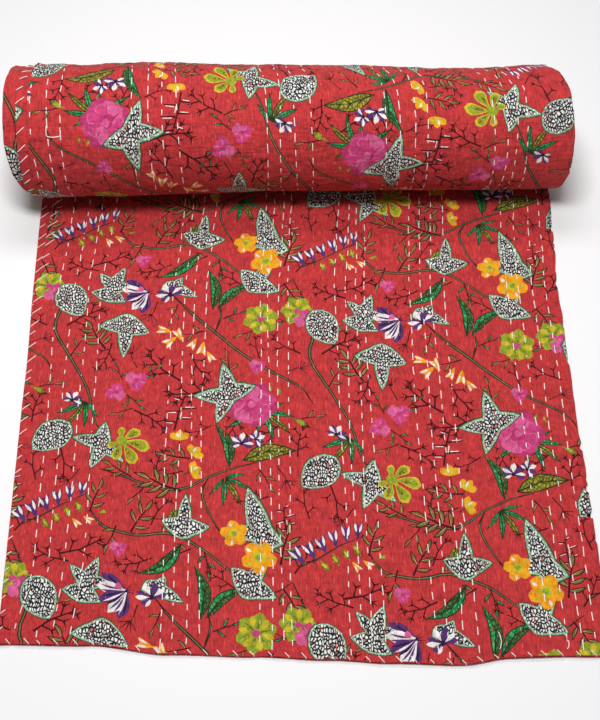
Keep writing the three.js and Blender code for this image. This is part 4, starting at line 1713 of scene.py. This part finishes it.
# name, place, aim, size and power
LIGHTS = [
    ("overhead", (-0.12, -0.19, 2.2), (0, 0.05, 0), (0.9, 0.38), 39.5),
    ("behind", (-0.05, 0.95, 1.9), (0, 0.2, 0), (0.9, 0.5), 13.5),
]

floor_mesh = bpy.data.meshes.new("floor")
floor_signs = ((-1, -1), (1, -1), (1, 1), (-1, 1))
floor_corners = [(x * FLOOR_REACH, y * FLOOR_REACH, FLOOR_LEVEL) for x, y in floor_signs]
floor_mesh.from_pydata(floor_corners, [], [(0, 1, 2, 3)])
floor = bpy.data.objects.new("floor", floor_mesh)
bpy.context.scene.collection.objects.link(floor)
paper, _, _ = new_material(
    "pale_floor", Base_Color=FLOOR_COLOUR, Roughness=FLOOR_ROUGHNESS, Specular_IOR_Level=0.0)
floor_mesh.materials.append(paper)

world = bpy.data.worlds.new("studio")
bpy.context.scene.world = world
world.use_nodes = True
sky = world.node_tree.nodes["Background"].inputs
sky["Color"].default_value = SKY_COLOUR
sky["Strength"].default_value = SKY_STRENGTH

for name, at, aim, size, power in LIGHTS:
    lamp = bpy.data.lights.new(name, "AREA")
    lamp.shape = "RECTANGLE"
    lamp.size, lamp.size_y = size
    lamp.energy = power
    light = bpy.data.objects.new(name, lamp)
    light.location = at
    light.rotation_euler = (Vector(aim) - Vector(at)).to_track_quat("-Z", "Y").to_euler()
    bpy.context.scene.collection.objects.link(light)
bpy.context.scene.view_settings.view_transform = "Standard"
print("studio:", len(LIGHTS), "lights")

# %% Camera
# place in metres from the plan's zero, focal length and image width in pixels, sensor in millimetres
CAMERA_PLACE = (-0.0224, -0.8537, 1.4792)
FOCAL_PIXELS = 1215.0
IMAGE_WIDTH = 600.0
SENSOR = 36.0
camera_data = bpy.data.cameras.new("camera")
camera_data.sensor_fit = "HORIZONTAL"
camera_data.sensor_width = SENSOR
camera_data.lens = FOCAL_PIXELS / IMAGE_WIDTH * SENSOR
camera = bpy.data.objects.new("camera", camera_data)
camera.location = Vector(CAMERA_PLACE) + PLAN_SHIFT
camera.rotation_euler = (PLAN_SHIFT - camera.location).to_track_quat("-Z", "Y").to_euler()
bpy.context.scene.collection.objects.link(camera)
bpy.context.scene.camera = camera
print("camera", [round(v, 3) for v in camera.location], "lens", round(camera_data.lens, 2), "mm")

# %% Finish
bpy.context.view_layer.update()
